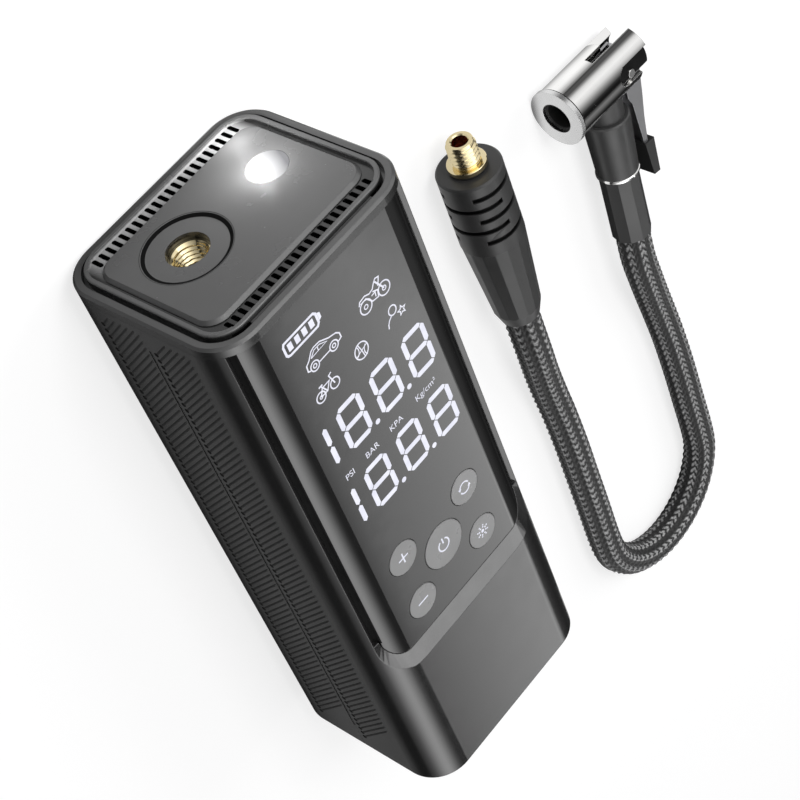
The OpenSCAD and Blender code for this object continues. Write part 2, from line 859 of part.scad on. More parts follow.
module motor_shaft() {
  color("silver") rod_x(motor_y, pump_z, motor_shaft_r, rotor_end, fan_x + fan_w + 0.5);
}

// Involute tooth form: roll angle at radius r over base radius rb, in degrees
function roll(r, rb) = let (c = acos(min(1, rb / r))) tan(c) * 180 / PI - c;
function half_tooth(r, teeth) =
  let (rp = gear_module * teeth / 2, rb = rp * cos(pressure_angle), at = max(r, rb))
  90 / teeth + roll(rp, rb) - roll(at, rb) - gear_play / rp * 180 / PI;
function polar(r, a) = [r * cos(a), r * sin(a)];
function gear_points(teeth) =
  let (
    rp = gear_module * teeth / 2, root = rp - gear_module * (1 + gear_clear),
    tip = rp + gear_module, steps = 5
  )
  [
    for (i = [0 : teeth - 1], j = [0 : 2 * steps + 1])
      let (up = j <= steps, t = up ? j / steps : (2 * steps + 1 - j) / steps, r = root + (tip - root) * t)
      polar(r, i * 360 / teeth + (up ? -1 : 1) * half_tooth(r, teeth))
  ];

// Spur gear about an axis along X, from x0 towards +X, its first tooth at +Y turned by shift
module spur(y, teeth, x0, w, bore, shift) {
  translate([x0, y, pump_z]) rotate([90, 0, 90]) difference() {
    rotate(shift) linear_extrude(w) polygon(gear_points(teeth));
    translate([0, 0, -over]) cylinder(r = bore, h = w + 2 * over);
  }
}

module drive_pinion() {
  color("gold") spur(motor_y, pinion_teeth, rotor_end, gear_w + 2.2, motor_shaft_r + slip / 2, 0);
}

// Crank gear with a gap towards the pinion and lightening holes in its web
module crank_gear() {
  hole_ring = gear_module * gear_teeth / 2 * 0.6;
  shift = gear_teeth % 2 == 0 ? 180 / gear_teeth : 0;
  color("ivory") difference() {
    spur(crank_y, gear_teeth, gear_x - gear_w, gear_w, crank_shaft_r + slip / 2, shift);
    for (i = [0 : 4])
      translate([gear_x - gear_w - over, crank_y, pump_z]) rotate([i * 72, 0, 0])
        translate([0, hole_ring, 0]) rotate([0, 90, 0]) cylinder(r = 3, h = gear_w + 2 * over);
  }
}

module cooling_fan() {
  color([0.2, 0.2, 0.22]) difference() {
    union() {
      rod_x(motor_y, pump_z, 3.2, fan_x, fan_x + fan_w);
      for (i = [0 : fan_blades - 1])
        translate([fan_x + fan_w / 2, motor_y, pump_z]) rotate([i * 360 / fan_blades, 0, 0])
          intersection() {
            translate([-fan_w / 2, -fan_w, 0]) cube([fan_w, 2 * fan_w, fan_r]);
            rotate([0, 0, 35]) translate([-0.5, -fan_w, 2.5]) cube([1, 2 * fan_w, fan_r - 2.8]);
          }
    }
    rod_x(motor_y, pump_z, motor_shaft_r + slip / 2, 0, body_w);
  }
}

// ---- Crank, rod and piston ----

module crank_shaft() {
  color("silver") {
    rod_x(crank_y, pump_z, crank_shaft_r, gear_x - gear_w, web_x);
    rod_x(crank_y, pump_z, web_r, web_x, web_x + web_w);
    rod_x(crank_pin_y, pump_z, crank_pin_r, web_x + web_w, web_x + web_w + pin_len);
  }
}

module crank_bush() {
  color("goldenrod") difference() {
    rod_x(crank_y, pump_z, crank_shaft_r + bush_wall, foot_left - bush_flange, frame_x + bush_out);
    rod_x(crank_y, pump_z, crank_shaft_r + slip, foot_left - bush_flange - over, frame_x + bush_out + over);
  }
}

module connecting_rod() {
  x0 = port_x - rod_w / 2;
  x1 = port_x + rod_w / 2;
  beam_h = 2.8;
  color("lightgray") difference() {
    union() {
      rod_x(crank_pin_y, pump_z, crank_pin_r + 1.3, x0, x1);
      rod_x(wrist_y, pump_z, wrist_r + 1.25, x0, x1);
      translate([x0, crank_pin_y + crank_pin_r, pump_z - beam_h / 2])
        cube([rod_w, rod_len - crank_pin_r - wrist_r, beam_h]);
    }
    rod_x(crank_pin_y, pump_z, crank_pin_r + slip, x0 - over, x1 + over);
    rod_x(wrist_y, pump_z, wrist_r + slip / 2, x0 - over, x1 + over);
  }
}

module wrist_pin() {
  color("silver") rod_x(wrist_y, pump_z, wrist_r, port_x - 4.5, port_x + 4.5);
}

module piston() {
  color("white") difference() {
    rod_y(port_x, pump_z, piston_r, piston_low, piston_top);
    rod_y(port_x, pump_z, piston_r - 1.4, piston_low - over, piston_top - 2.2);
    difference() {
      rod_y(port_x, pump_z, piston_r + over, piston_top - 1.7, piston_top - 0.7);
      rod_y(port_x, pump_z, piston_r - 0.8, piston_top - 2, piston_top);
    }
  }
}

module piston_ring() {
  color([0.1, 0.1, 0.1]) difference() {
    rod_y(port_x, pump_z, piston_r + 0.6 * piston_gap, piston_top - 1.6, piston_top - 0.8);
    rod_y(port_x, pump_z, piston_r - 0.7, piston_top - 2, piston_top);
  }
}

module pump_cylinder() {
  bore = piston_r + piston_gap;
  color("silver") difference() {
    union() {
      rod_y(port_x, pump_z, bore + cylinder_wall, cylinder_low, head_low);
      for (i = [0 : 3])
        rod_y(port_x, pump_z, bore + cylinder_wall + 1.6, head_low - 1.5 - 3.2 * i, head_low - 3.2 * i);
    }
    rod_y(port_x, pump_z, bore, cylinder_low - over, head_low + over);
  }
}

module cylinder_head() {
  head_r = piston_r + piston_gap + cylinder_wall + 1.6;
  color("silver") difference() {
    rod_y(port_x, pump_z, head_r, head_low, head_top);
    rod_y(port_x, pump_z, 1.2, head_low - over, head_top + over);
    translate([port_x, (head_low + head_top) / 2, pump_z]) cylinder(r = 1.2, h = head_r + over);
    translate([port_x, (head_low + head_top) / 2, pump_z + 9]) cylinder(r = 1.6 + slip, h = head_r);
  }
}

// Tube from the cylinder head, its flange closing the outlet's lower end
module air_tube() {
  color("goldenrod") difference() {
    union() {
      rod_y(port_x, pump_z, 3, head_top, socket_low - tube_flange + over);
      rod_y(port_x, pump_z, port_r + 0.6, socket_low - tube_flange, socket_low);
    }
    rod_y(port_x, pump_z, 1.2, head_top - over, socket_low + over);
  }
}

// Side plate beside the motor, cross plate under the cylinder and foot on the bosses; the
// piston's room is cut out of all of them
module pump_frame() {
  hole_r = piston_r + piston_gap + 0.45;
  plate_h = 2 * (pump_z - foot_z) - 3;
  color("silver") difference() {
    union() {
      translate([foot_left, foot_low, foot_z]) cube([frame_t, cylinder_low - foot_low, plate_h]);
      translate([foot_left, cross_y, foot_z])
        cube([port_x + hole_r + cross_edge - foot_left, cylinder_low - cross_y, plate_h]);
      translate([foot_left, foot_low, foot_z])
        cube([foot_right - foot_left, cylinder_low - foot_low, foot_t]);
    }
    rod_x(crank_y, pump_z, crank_shaft_r + bush_wall + slip / 2, foot_left - over, frame_x + over);
    rod_x(motor_y, pump_z, motor_shaft_r + 1, foot_left - over, frame_x + over);
    rod_y(port_x, pump_z, hole_r, piston_low - 2 * crank_r - over, cylinder_low + over);
    for (p = frame_screws)
      translate([p[0], p[1], foot_z - over]) cylinder(r = screw_r + slip, h = foot_t + 2 * over);
  }
}

// ---- Screws ----

module screw(x, y, z, len, up) {
  translate([x, y, z]) rotate([up ? 180 : 0, 0, 0]) {
    cylinder(r = screw_r, h = len);
    translate([0, 0, -screw_head_t]) cylinder(r = head_r, h = screw_head_t);
  }
}

module case_screws() {
  color("gray") for (side = [-1, 1], y = post_ys)
    screw(side * post_x, y, screw_sink + screw_head_t, split_z + 10 - screw_sink - screw_head_t, false);
}

module pump_screws() {
  color("gray") for (p = frame_screws)
    screw(p[0], p[1], foot_z + foot_t, foot_z + foot_t - wall - 0.3, true);
}

// ---- Hose and its fitting ----

function unit(v) = v / norm(v);
function step(route, i) = unit(route[i + 1] - route[i]);
function tangent(route, i) =
  let (last = len(route) - 1)
  i == 0 ? step(route, 0) : i == last ? step(route, last - 1) : unit(step(route, i - 1) + step(route, i));

// Ring of points round route point i
function hose_ring(route, i) =
  let (t = tangent(route, i), side = unit(cross(t, [0, 0, 1])), up = cross(side, t))
  [
    for (k = [0 : hose_sides - 1])
      let (a = k * 360 / hose_sides) route[i] + hose_d / 2 * (sin(a) * side + cos(a) * up)
  ];

module hose_tube() {
  rings = [for (i = [0 : len(hose_route) - 1]) hose_ring(hose_route, i)];
  color([0.12, 0.12, 0.12]) skin(rings, hose_sides);
}

// Places its children with +Z of their own along the fitting's axis, from its hose end up
module on_fitting() {
  translate([fit_x, fit_y, fit_z]) rotate([-90, 0, 0]) children();
}

// Arc-shaped groove about Z, from angle a0 over the angle span
module arc_slot(z, r, w, d, a0, span) {
  translate([0, 0, z - w / 2]) rotate(a0)
    rotate_extrude(angle = span) translate([r - d, 0]) square([d + over, w]);
}

module fitting_sleeve() {
  tilt = atan((sleeve_r - taper_r) / (taper_top - taper_low));
  color([0.16, 0.16, 0.17]) on_fitting() difference() {
    rotate_extrude() polygon([
      [fit_stem_r + slip, 0], [sleeve_end_r, 0], [taper_r, taper_low], [sleeve_r, taper_top],
      [sleeve_r, sleeve_top - 0.5], [sleeve_r - 0.5, sleeve_top], [fit_stem_r + slip, sleeve_top]
    ]);
    for (i = [0 : facets - 1])
      rotate((i + 0.5) * 360 / facets) translate([taper_r * cos(180 / facets), -sleeve_r, taper_low])
        rotate([0, tilt, 0]) translate([0, 0, -2 * taper_low])
          cube([sleeve_r, 2 * sleeve_r, taper_top + taper_low]);
    for (i = [0 : grip_n - 1], half_turn = [0, 180])
      arc_slot(
        sleeve_top - grip_first - i * grip_pitch, sleeve_r, grip_w, grip_d,
        grip_turns[i % 2] + half_turn, grip_span
      );
  }
}

module fitting_seal() {
  color("black") on_fitting() translate([0, 0, sleeve_top]) difference() {
    cylinder(r = fit_flange_r - 0.3, h = seal_t);
    translate([0, 0, -over]) cylinder(r = fit_stem_r + slip, h = seal_t + 2 * over);
  }
}

module hose_fitting() {
  color("goldenrod") on_fitting() difference() {
    union() {
      translate([0, 0, over]) cylinder(r = fit_stem_r, h = flange_y - over);
      translate([0, 0, flange_y]) cylinder(r = fit_flange_r, h = fit_flange_t);
      translate([0, 0, flange_y]) cylinder(r = thread_r - 0.4, h = thread_y - flange_y);
      translate([0, 0, thread_y]) cylinder(r = thread_r, h = thread_len - 0.4);
      translate([0, 0, thread_y + thread_len - 0.4]) cylinder(r1 = thread_r, r2 = thread_r - 0.4, h = 0.4);
    }
    cylinder(r = fit_bore, h = thread_y + thread_len + over);
  }
}

// ---- Chuck ----

// Places its children in the chuck's own frame
module on_chuck() {
  translate(chuck_at) rotate(chuck_angle) children();
}

// Children's +Z runs from the barrel down the neck
module on_neck() {
  on_chuck() rotate([90, 0, 0]) children();
}

module bar_x(r, x0, x1) {
  translate([x0, 0, 0]) rotate([0, 90, 0]) cylinder(r = r, h = x1 - x0);
}

// Side outline of the clip lever: inner jaw, crook outside the barrel, arm beside the neck
function lever_outline() = [
  [pivot_x - 2.8, 3.2], [pivot_x + 4.5, 3.6], [pivot_x + 7.4, 0], [pivot_x + 9, -7], [pivot_x + 9.1, -11.3],
  [pivot_x + 6.6, -lever_end], [pivot_x + 3.2, -lever_end], [pivot_x + 3.1, -16], [pivot_x + 3.1, -9.5],
  [pivot_x + 2.9, -3.8], [pivot_x - 2.6, -2.6]
];

module chuck_barrel() {
  open_w = clip_w + 3.4;
  open_x = pivot_x + open_w / 2 - 0.7;
  open_y = -2.6;
  color("silver") on_chuck() difference() {
    bar_x(barrel_r, -barrel_front, barrel_back);
    bar_x(barrel_bore, -barrel_front - over, barrel_wall_x);
    bar_x(barrel_bore, pivot_x - 3, barrel_back + over);
    bar_x(neck_bore, barrel_wall_x - over, 0);
    rotate([90, 0, 0]) cylinder(r = neck_bore, h = barrel_r);
    rotate([90, 0, 0]) translate([0, 0, neck_stem_at]) cylinder(r = neck_stem_r + slip, h = barrel_r);
    // stepped slot over the lever's jaw
    translate([pivot_x - 1.5, 0, -2.5]) cube([barrel_back, barrel_r + over, 5]);
    translate([pivot_x - 8, barrel_bore, -0.3]) cube([barrel_back, barrel_r, 2.4]);
    // round-ended opening where the lever swings out
    translate([open_x, open_y, 0]) rotate([90, 0, 0]) cylinder(r = open_w / 2, h = barrel_r);
    translate([open_x, open_y - barrel_r, -open_w / 2]) cube([barrel_back, barrel_r, open_w]);
    translate([pivot_x, 0, -barrel_r - over]) cylinder(r = lever_pin_r + slip, h = 2 * barrel_r + 2 * over);
  }
}

module mouth_ring() {
  color([0.82, 0.82, 0.82]) on_chuck() difference() {
    bar_x(mouth_ring_r, -barrel_front - mouth_t, -barrel_front);
    bar_x(mouth_r, -barrel_front - mouth_t - over, -barrel_front + over);
  }
}

module chuck_gasket() {
  color("black") on_chuck() difference() {
    bar_x(barrel_bore - slip, -barrel_front, -barrel_front + gasket_t);
    bar_x(mouth_r - 0.5, -barrel_front - over, -barrel_front + gasket_t + over);
  }
}

// Pin that opens the tyre's valve, on a disc with air holes
module valve_depressor() {
  disc_x = barrel_wall_x - 1.5;
  color("goldenrod") on_chuck() difference() {
    union() {
      bar_x(barrel_bore - slip, disc_x, barrel_wall_x);
      bar_x(1.1, -barrel_front + gasket_t + 1, disc_x);
    }
    for (i = [0 : 3])
      rotate([i * 90 + 45, 0, 0]) translate([0, 3.2, 0]) bar_x(1, disc_x - over, barrel_wall_x + over);
  }
}

module chuck_neck() {
  color([0.13, 0.13, 0.13]) on_neck() difference() {
    union() {
      translate([0, 0, neck_stem_at]) cylinder(r = neck_stem_r, h = collar_end - neck_stem_at);
      difference() {
        cylinder(r = neck_r, h = collar_end);
        rotate([0, 90, 0]) cylinder(r = barrel_r + slip / 2, h = 4 * neck_r, center = true);
      }
      translate([0, 0, collar_end - over]) cylinder(r = neck_tube_r, h = chuck_sleeve_end - collar_end);
    }
    cylinder(r = neck_bore, h = chuck_sleeve_end + over);
  }
}

module chuck_ferrule() {
  color([0.2, 0.2, 0.21]) on_neck() rotate_extrude() polygon([
    [neck_tube_r + slip, collar_end], [ferrule_r - 0.4, collar_end], [ferrule_r, collar_end + 0.4],
    [ferrule_end_r, ferrule_end], [neck_tube_r + slip, ferrule_end]
  ]);
}

module chuck_ring() {
  ring_out = 0.25;
  color("silver") on_neck() rotate_extrude() polygon([
    [neck_tube_r + slip, ferrule_end], [ferrule_end_r, ferrule_end],
    [ferrule_end_r + ring_out, ferrule_end + ring_out],
    [ferrule_end_r + ring_out, chuck_sleeve_at - ring_out],
    [ferrule_end_r, chuck_sleeve_at], [neck_tube_r + slip, chuck_sleeve_at]
  ]);
}

module chuck_sleeve() {
  color([0.16, 0.16, 0.17]) on_neck() difference() {
    translate([0, 0, chuck_sleeve_at])
      cylinder(r = chuck_sleeve_r, h = chuck_sleeve_len, $fn = chuck_facets);
    cylinder(r = neck_tube_r + slip, h = chuck_sleeve_end + over);
  }
}

module clip_lever() {
  color("gray") on_chuck() difference() {
    linear_extrude(clip_w, center = true) polygon(lever_outline());
    for (back = [clip_t, 3, 6])
      translate([-back, 0, 0]) linear_extrude(clip_w - 2 * clip_t, center = true) polygon(lever_outline());
    translate([pivot_x, 0, 0]) cylinder(r = lever_pin_r + slip, h = clip_w + over, center = true);
  }
}

module thumb_pad() {
  color([0.12, 0.12, 0.12]) on_chuck() linear_extrude(clip_w + thumb_drop, center = true) polygon([
    [pivot_x + 2.8, -lever_end], [pivot_x + 7.4, -lever_end],
    [pivot_x + 10.6, -lever_end - thumb_len], [pivot_x + 7.8, -lever_end - thumb_len - thumb_drop]
  ]);
}

module lever_pin() {
  color("silver") on_chuck() translate([pivot_x, 0, 0])
    cylinder(r = lever_pin_r, h = 2 * barrel_r - 1, center = true);
}

// Return spring round the pin, between the lever's two plates
module lever_spring() {
  turns = 5;
  spring_h = clip_w - 2 * clip_t - 0.6;
  color("silver") on_chuck() translate([pivot_x, 0, -spring_h / 2]) difference() {
    cylinder(r = lever_pin_r + 0.8, h = spring_h);
    translate([0, 0, -over]) cylinder(r = lever_pin_r + slip, h = spring_h + 2 * over);
    for (i = [1 : turns - 1])
      translate([0, 0, i * spring_h / turns - 0.1]) difference() {
        cylinder(r = lever_pin_r + over, h = 0.2);
        cylinder(r = lever_pin_r + 0.6, h = 0.2);
      }
  }
}

rear_shell();
front_shell();
front_panel();
top_bezel();
vent_grille();
top_plate();
outlet_socket();
lamp_lens();
lamp_reflector();
lamp_board();
display_module();
main_board();
key_power();
key_plus();
key_minus();
key_lamp();
key_mode();
key_switches();
battery_cells();
cell_cradle();
motor_case();
motor_end_cap();
motor_shaft();
drive_pinion();
cooling_fan();
crank_gear();
crank_shaft();
crank_bush();
connecting_rod();
wrist_pin();
piston();
piston_ring();
pump_cylinder();
cylinder_head();
pump_frame();
air_tube();
pressure_sensor();
sensor_tube();
usb_port();
case_screws();
pump_screws();
hose_tube();
hose_fitting();
fitting_seal();
fitting_sleeve();
chuck_barrel();
mouth_ring();
chuck_gasket();
valve_depressor();
chuck_neck();
chuck_ferrule();
chuck_ring();
chuck_sleeve();
clip_lever();
thumb_pad();
lever_pin();
lever_spring();
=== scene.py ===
import math

import bpy
import bmesh
from mathutils import Matrix, Vector


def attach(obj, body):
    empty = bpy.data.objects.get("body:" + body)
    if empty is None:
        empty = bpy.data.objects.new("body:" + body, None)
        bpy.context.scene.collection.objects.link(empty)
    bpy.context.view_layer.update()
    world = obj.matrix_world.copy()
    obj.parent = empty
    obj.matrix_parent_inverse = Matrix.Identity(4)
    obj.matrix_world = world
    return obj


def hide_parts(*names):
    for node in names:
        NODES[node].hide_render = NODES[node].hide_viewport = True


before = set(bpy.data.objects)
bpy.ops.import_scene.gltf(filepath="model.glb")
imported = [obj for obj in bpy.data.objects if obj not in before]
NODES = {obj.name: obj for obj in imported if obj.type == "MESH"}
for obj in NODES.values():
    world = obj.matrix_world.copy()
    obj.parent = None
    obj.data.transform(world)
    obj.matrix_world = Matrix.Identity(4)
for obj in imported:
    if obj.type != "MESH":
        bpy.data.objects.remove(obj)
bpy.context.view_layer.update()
MM = 0.001

# ---- Levels and places that the pieces share with the solids ----

HOUSING_HALF = 30.0
PANEL_Z = 50.8
KEY_Z = 50.95
PRINT_LIFT = 0.03
PORT_X = -10.2
PORT_Z = 22.6
SOCKET_TOP = 80.8
PLATE_TOP = 83.0
FIT_AT = Vector((76.8, -31.7, 8.65))
CHUCK_AT = Vector((126.0, 8.1, 8.2))
CHUCK_TURN = math.radians(-3)
KEYS = {
    "key_power": (0.0, -14.55),
    "key_plus": (-11.4, -6.1),
    "key_minus": (-11.4, -23.0),
    "key_lamp": (11.4, -23.0),
    "key_mode": (11.4, -6.1),
}

# Route of the hose, from the fitting's sleeve to the chuck's sleeve
NECK_DIR = Vector((math.sin(CHUCK_TURN), -math.cos(CHUCK_TURN), 0.0))
NECK_LENGTH = 53.5
HOSE_END = CHUCK_AT + NECK_LENGTH * NECK_DIR
HOSE_ROUTE = [Vector(p) for p in (
    (76.8, -31.7, 8.65), (76.8, -41.7, 8.65), (77.4, -50, 7.9), (78.6, -60, 6.3),
    (79.8, -70, 5.2), (80.6, -80, 5), (81, -95, 5), (81, -110, 5), (81, -125, 5), (81, -141, 5),
    (81.8, -147.2, 5), (84.2, -153, 5), (88, -158, 5), (93, -161.8, 5), (98.8, -164.2, 5),
    (105, -165, 5), (111.2, -164.2, 5), (117, -161.8, 5), (122, -158, 5), (125.8, -153, 5),
    (128.2, -147.2, 5), (129, -141, 5), (129, -125, 5), (128.9, -110, 5), (128.4, -96, 5),
    (127.4, -85, 5.2), (125.8, -75, 6), (123.9, -65, 7.4), HOSE_END + 10 * NECK_DIR, HOSE_END,
)]
HOSE_D = 10.0


# ---- Objects ----

def add_object(name, data):
    item = bpy.data.objects.new(name, data)
    bpy.context.scene.collection.objects.link(item)
    return item


def make_camera():
    bpy.context.scene.view_settings.view_transform = "Standard"
    data = bpy.data.cameras.new("camera")
    data.sensor_width = 36
    data.lens = 99.198
    data.clip_start = 0.01
    data.clip_end = 20
    camera = add_object("camera", data)
    camera.location = (-0.174136, 0.377698, 0.331581)
    camera.rotation_euler = [math.radians(a) for a in (-30.3453, -47.2726, -24.035)]
    bpy.context.scene.camera = camera


def add_mesh(name, verts, faces, finish, body="inflator", smooth=False):
    """Object from vertices in millimetres, riding on a body."""
    mesh = bpy.data.meshes.new(name)
    mesh.from_pydata([Vector(v) * MM for v in verts], [], faces)
    mesh.materials.append(MATERIALS[finish])
    mesh.polygons.foreach_set("use_smooth", [smooth] * len(mesh.polygons))
    mesh.update()
    piece = add_object(name, mesh)
    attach(piece, body)
    return piece


def sharpen(piece):
    """Smooth shading that keeps the edges between faces more than 35 degrees apart."""
    piece.data.set_sharp_from_angle(angle=math.radians(35))


class Shape:
    """Collects the faces of one piece."""

    def __init__(self):
        self.verts = []
        self.faces = []

    def add(self, verts, faces):
        base = len(self.verts)
        self.verts += [tuple(v) for v in verts]
        self.faces += [tuple(base + i for i in face) for face in faces]

    def stroke(self, points, width, place, closed=False):
        """Flat band of the given width along a line of 2-D points."""
        count = len(points)
        spots = [Vector(p) for p in points]
        ways = [(spots[(i + 1) % count] - spots[i]).normalized() for i in range(count)]
        rim = []
        for i, here in enumerate(spots):
            into = ways[i - 1] if closed or i else ways[0]
            away = ways[i] if closed or i < count - 1 else into
            mean = into + away
            mean = mean.normalized() if mean.length > 1e-6 else away
            across = Vector((-mean.y, mean.x))
            reach = across * width / 2 / max(0.5, abs(mean.dot(away)))
            rim.append((here + reach, here - reach))
        verts = [place(*p) for pair in rim for p in pair]
        ends = [(i, (i + 1) % count) for i in range(count if closed else count - 1)]
        self.add(verts, [(2 * i, 2 * i + 1, 2 * j + 1, 2 * j) for i, j in ends])

    def fill(self, points, place):
        """Flat face inside a closed line of 2-D points."""
        self.add([place(*p) for p in points], [tuple(range(len(points)))])

    def piece(self, name, finish, slot, body="inflator"):
        """Object of the collected faces, with its finish; the slot argument is not used."""
        piece = add_mesh(name, self.verts, self.faces, finish, body)
        return piece


def circle(x, y, rx, ry=None, start=0.0, span=360.0, steps=28):
    """Points of a circle, an ellipse or an arc, angles in degrees."""
    ry = rx if ry is None else ry
    whole = span >= 360
    count = steps if whole else max(4, int(steps * span / 360)) + 1
    divide = count if whole else count - 1
    angles = [math.radians(start + span * i / divide) for i in range(count)]
    return [(x + rx * math.cos(a), y + ry * math.sin(a)) for a in angles]


def ring_faces(rings, sides):
    """Faces between rings of points."""
    steps = [(k, (k + 1) % sides) for k in range(sides)]
    return [(base + a, base + b, base + sides + b, base + sides + a)
            for base in range(0, (rings - 1) * sides, sides) for a, b in steps]


def on_panel(x, y):
    return (x, y, PANEL_Z + PRINT_LIFT)


def on_key(x, y):
    return (x, y, KEY_Z + PRINT_LIFT)


def smooth_route(points, step):
    """Points at an even step on a Catmull-Rom curve through the route."""
    first, last = points[0], points[-1]
    line = [first - (points[1] - first), *points, last + (last - points[-2])]
    fine = []
    for p0, p1, p2, p3 in zip(line, line[1:], line[2:], line[3:]):
        reach = (p2 - p1).length
        m1 = (p2 - p0) / ((p1 - p0).length + reach) * reach
        m2 = (p3 - p1) / ((p3 - p2).length + reach) * reach
        for t in (k / 16 for k in range(16)):
            fine.append(
                (2 * t**3 - 3 * t**2 + 1) * p1 + (t**3 - 2 * t**2 + t) * m1
                + (3 * t**2 - 2 * t**3) * p2 + (t**3 - t**2) * m2
            )
    fine.append(last)
    lengths = [0.0]
    for a, b in zip(fine, fine[1:]):
        lengths.append(lengths[-1] + (b - a).length)
    count = round(lengths[-1] / step)
    result = []
    j = 0
    for i in range(count + 1):
        goal = lengths[-1] * i / count
        while j < len(fine) - 2 and lengths[j + 1] < goal:
            j += 1
        share = (goal - lengths[j]) / (lengths[j + 1] - lengths[j])
        result.append(fine[j].lerp(fine[j + 1], share))
    return result, lengths[-1]


# ---- Node helpers ----

class Nodes:
    """Short calls for the nodes of one tree."""

    def __init__(self, tree):
        self.tree = tree

    def node(self, kind, **settings):
        node = self.tree.nodes.new("ShaderNode" + kind)
        for key, value in settings.items():
            setattr(node, key, value)
        return node

    def feed(self, socket, value):
        """Gives an input a number, a colour or another node's output."""
        if isinstance(value, (int, float)):
            socket.default_value = value
        elif isinstance(value, tuple):
            socket.default_value = (*value, 1.0)
        else:
            self.tree.links.new(value, socket)

    def out(self, kind, *values, **settings):
        """First output of a new node, its first inputs fed in turn."""
        node = self.node(kind, **settings)
        for socket, value in zip(node.inputs, values):
            self.feed(socket, value)
        return node.outputs[0]

    def split(self, vector):
        node = self.node("SeparateXYZ")
        self.feed(node.inputs[0], vector)
        return node.outputs

    def remap(self, value, low, high, to_low=0.0, to_high=1.0):
        node = self.node("MapRange")
        for name, number in zip(("From Min", "From Max", "To Min", "To Max"),
                                (low, high, to_low, to_high)):
            node.inputs[name].default_value = number
        self.feed(node.inputs["Value"], value)
        return node.outputs[0]

    def math(self, operation, *values):
        return self.out("Math", *values, operation=operation)

    def times(self, value, *factors):
        for factor in factors:
            value = self.math("MULTIPLY", value, factor)
        return value

    def mix(self, share, first, second):
        node = self.node("Mix", data_type="RGBA")
        for name, value in (("Factor", share), ("A", first), ("B", second)):
            self.feed([s for s in node.inputs if s.name == name and s.enabled][0], value)
        return [s for s in node.outputs if s.enabled][0]

    def scale(self, color, factor):
        node = self.node("VectorMath", operation="SCALE")
        self.feed(node.inputs[0], color)
        self.feed(node.inputs["Scale"], factor)
        return node.outputs[0]

    def ramp(self, share, reach, stops):
        """Grey level by a share from 0 to 1; stops are (place, level) from -reach to reach."""
        node = self.node("ValToRGB")
        elements = node.color_ramp.elements
        while len(elements) > 1:
            elements.remove(elements[-1])
        for i, (place, level) in enumerate(stops):
            position = (place + reach) / (2 * reach)
            element = elements[0] if i == 0 else elements.new(position)
            element.position = position
            element.color = (level, level, level, 1)
        self.feed(node.inputs[0], share)
        return node.outputs[0]

    def ray_kinds(self):
        """Two switches: for rays of the camera or through glass, and for mirrored rays."""
        path = self.node("LightPath").outputs
        seen = self.math("MAXIMUM", path["Is Camera Ray"], path["Is Transmission Ray"])
        return seen, path["Is Glossy Ray"]


class Shader(Nodes):
    """A Principled material. Sizes of its patterns are in millimetres."""

    INPUTS = {
        "color": "Base Color", "rough": "Roughness", "metal": "Metallic", "normal": "Normal",
        "specular": "Specular IOR Level", "sheen": "Sheen Weight", "glow": "Emission Strength",
        "glow_color": "Emission Color",
    }

    def __init__(self, name, **values):
        self.material = bpy.data.materials.new(name)
        self.material.use_nodes = True
        super().__init__(self.material.node_tree)
        self.bsdf = self.tree.nodes["Principled BSDF"]
        self.coords = self.node("TexCoord").outputs["Object"]
        self.set(**values)

    def set(self, **values):
        for key, value in values.items():
            self.feed(self.bsdf.inputs[self.INPUTS[key]], value)
        return self.material

    def noise(self, size, detail, stretch=None):
        texture = self.node("TexNoise")
        texture.inputs["Scale"].default_value = 1 / (size * MM)
        texture.inputs["Detail"].default_value = detail
        source = self.coords
        if stretch:
            mapping = self.node("Mapping")
            mapping.inputs["Scale"].default_value = stretch
            self.feed(mapping.inputs["Vector"], source)
            source = mapping.outputs[0]
        self.feed(texture.inputs["Vector"], source)
        return texture.outputs[0]

    def spread(self, pattern, low=0.0, high=1.0):
        """A noise pattern's middle range, widened to two values."""
        return self.remap(pattern, 0.3, 0.7, low, high)

    def clouded(self, size, color, darker, lighter):
        """The colour, varied softly between two factors."""
        cloud = self.spread(self.noise(size, 3))
        return self.mix(cloud, shade(color, darker), shade(color, lighter))

    def bump(self, height, depth, strength, after=None):
        node = self.node("Bump")
        node.inputs["Strength"].default_value = strength
        node.inputs["Distance"].default_value = depth * MM
        self.feed(node.inputs["Height"], height)
        if after is not None:
            self.feed(node.inputs["Normal"], after)
        return node.outputs[0]

    def soften(self, radius):
        node = self.node("Bevel", samples=4)
        node.inputs["Radius"].default_value = radius * MM
        return node.outputs[0]

    def grain(self, size, depth, strength, edge):
        """Fine grain over softened edges."""
        return self.bump(self.noise(size, 2), depth, strength, self.soften(edge))


def shade(color, factor):
    return tuple(min(1.0, c * factor) for c in color)


def grey(level):
    """Linear grey of an sRGB level from 0 to 255."""
    value = level / 255
    linear = value / 12.92 if value <= 0.04045 else ((value + 0.055) / 1.055) ** 2.4
    return (linear, linear, linear)


# ---- Materials ----

def moulded(name, color, rough, grain=0.3, grain_mm=0.35, edge=0.25, specular=0.5):
    """Moulded plastic: fine spark-eroded grain, slight clouding and softened edges."""
    s = Shader(name, specular=specular)
    return s.set(
        color=s.clouded(26, color, 0.93, 1.07),
        rough=s.spread(s.noise(7, 3), rough - 0.06, rough + 0.06),
        normal=s.grain(grain_mm, 0.012, grain, edge),
    )


def metal(name, color, rough, edge=0.15, brushed=None, spread=0.03, scratch=0.12):
    """Bare or plated metal with faint handling marks."""
    s = Shader(name, metal=1.0)
    marks = s.noise(1.6, 4, brushed)
    return s.set(
        color=s.clouded(9, color, 0.94, 1.0),
        rough=s.spread(marks, max(0.01, rough - spread), rough + spread),
        normal=s.bump(marks, 0.004, scratch, s.soften(edge)),
    )


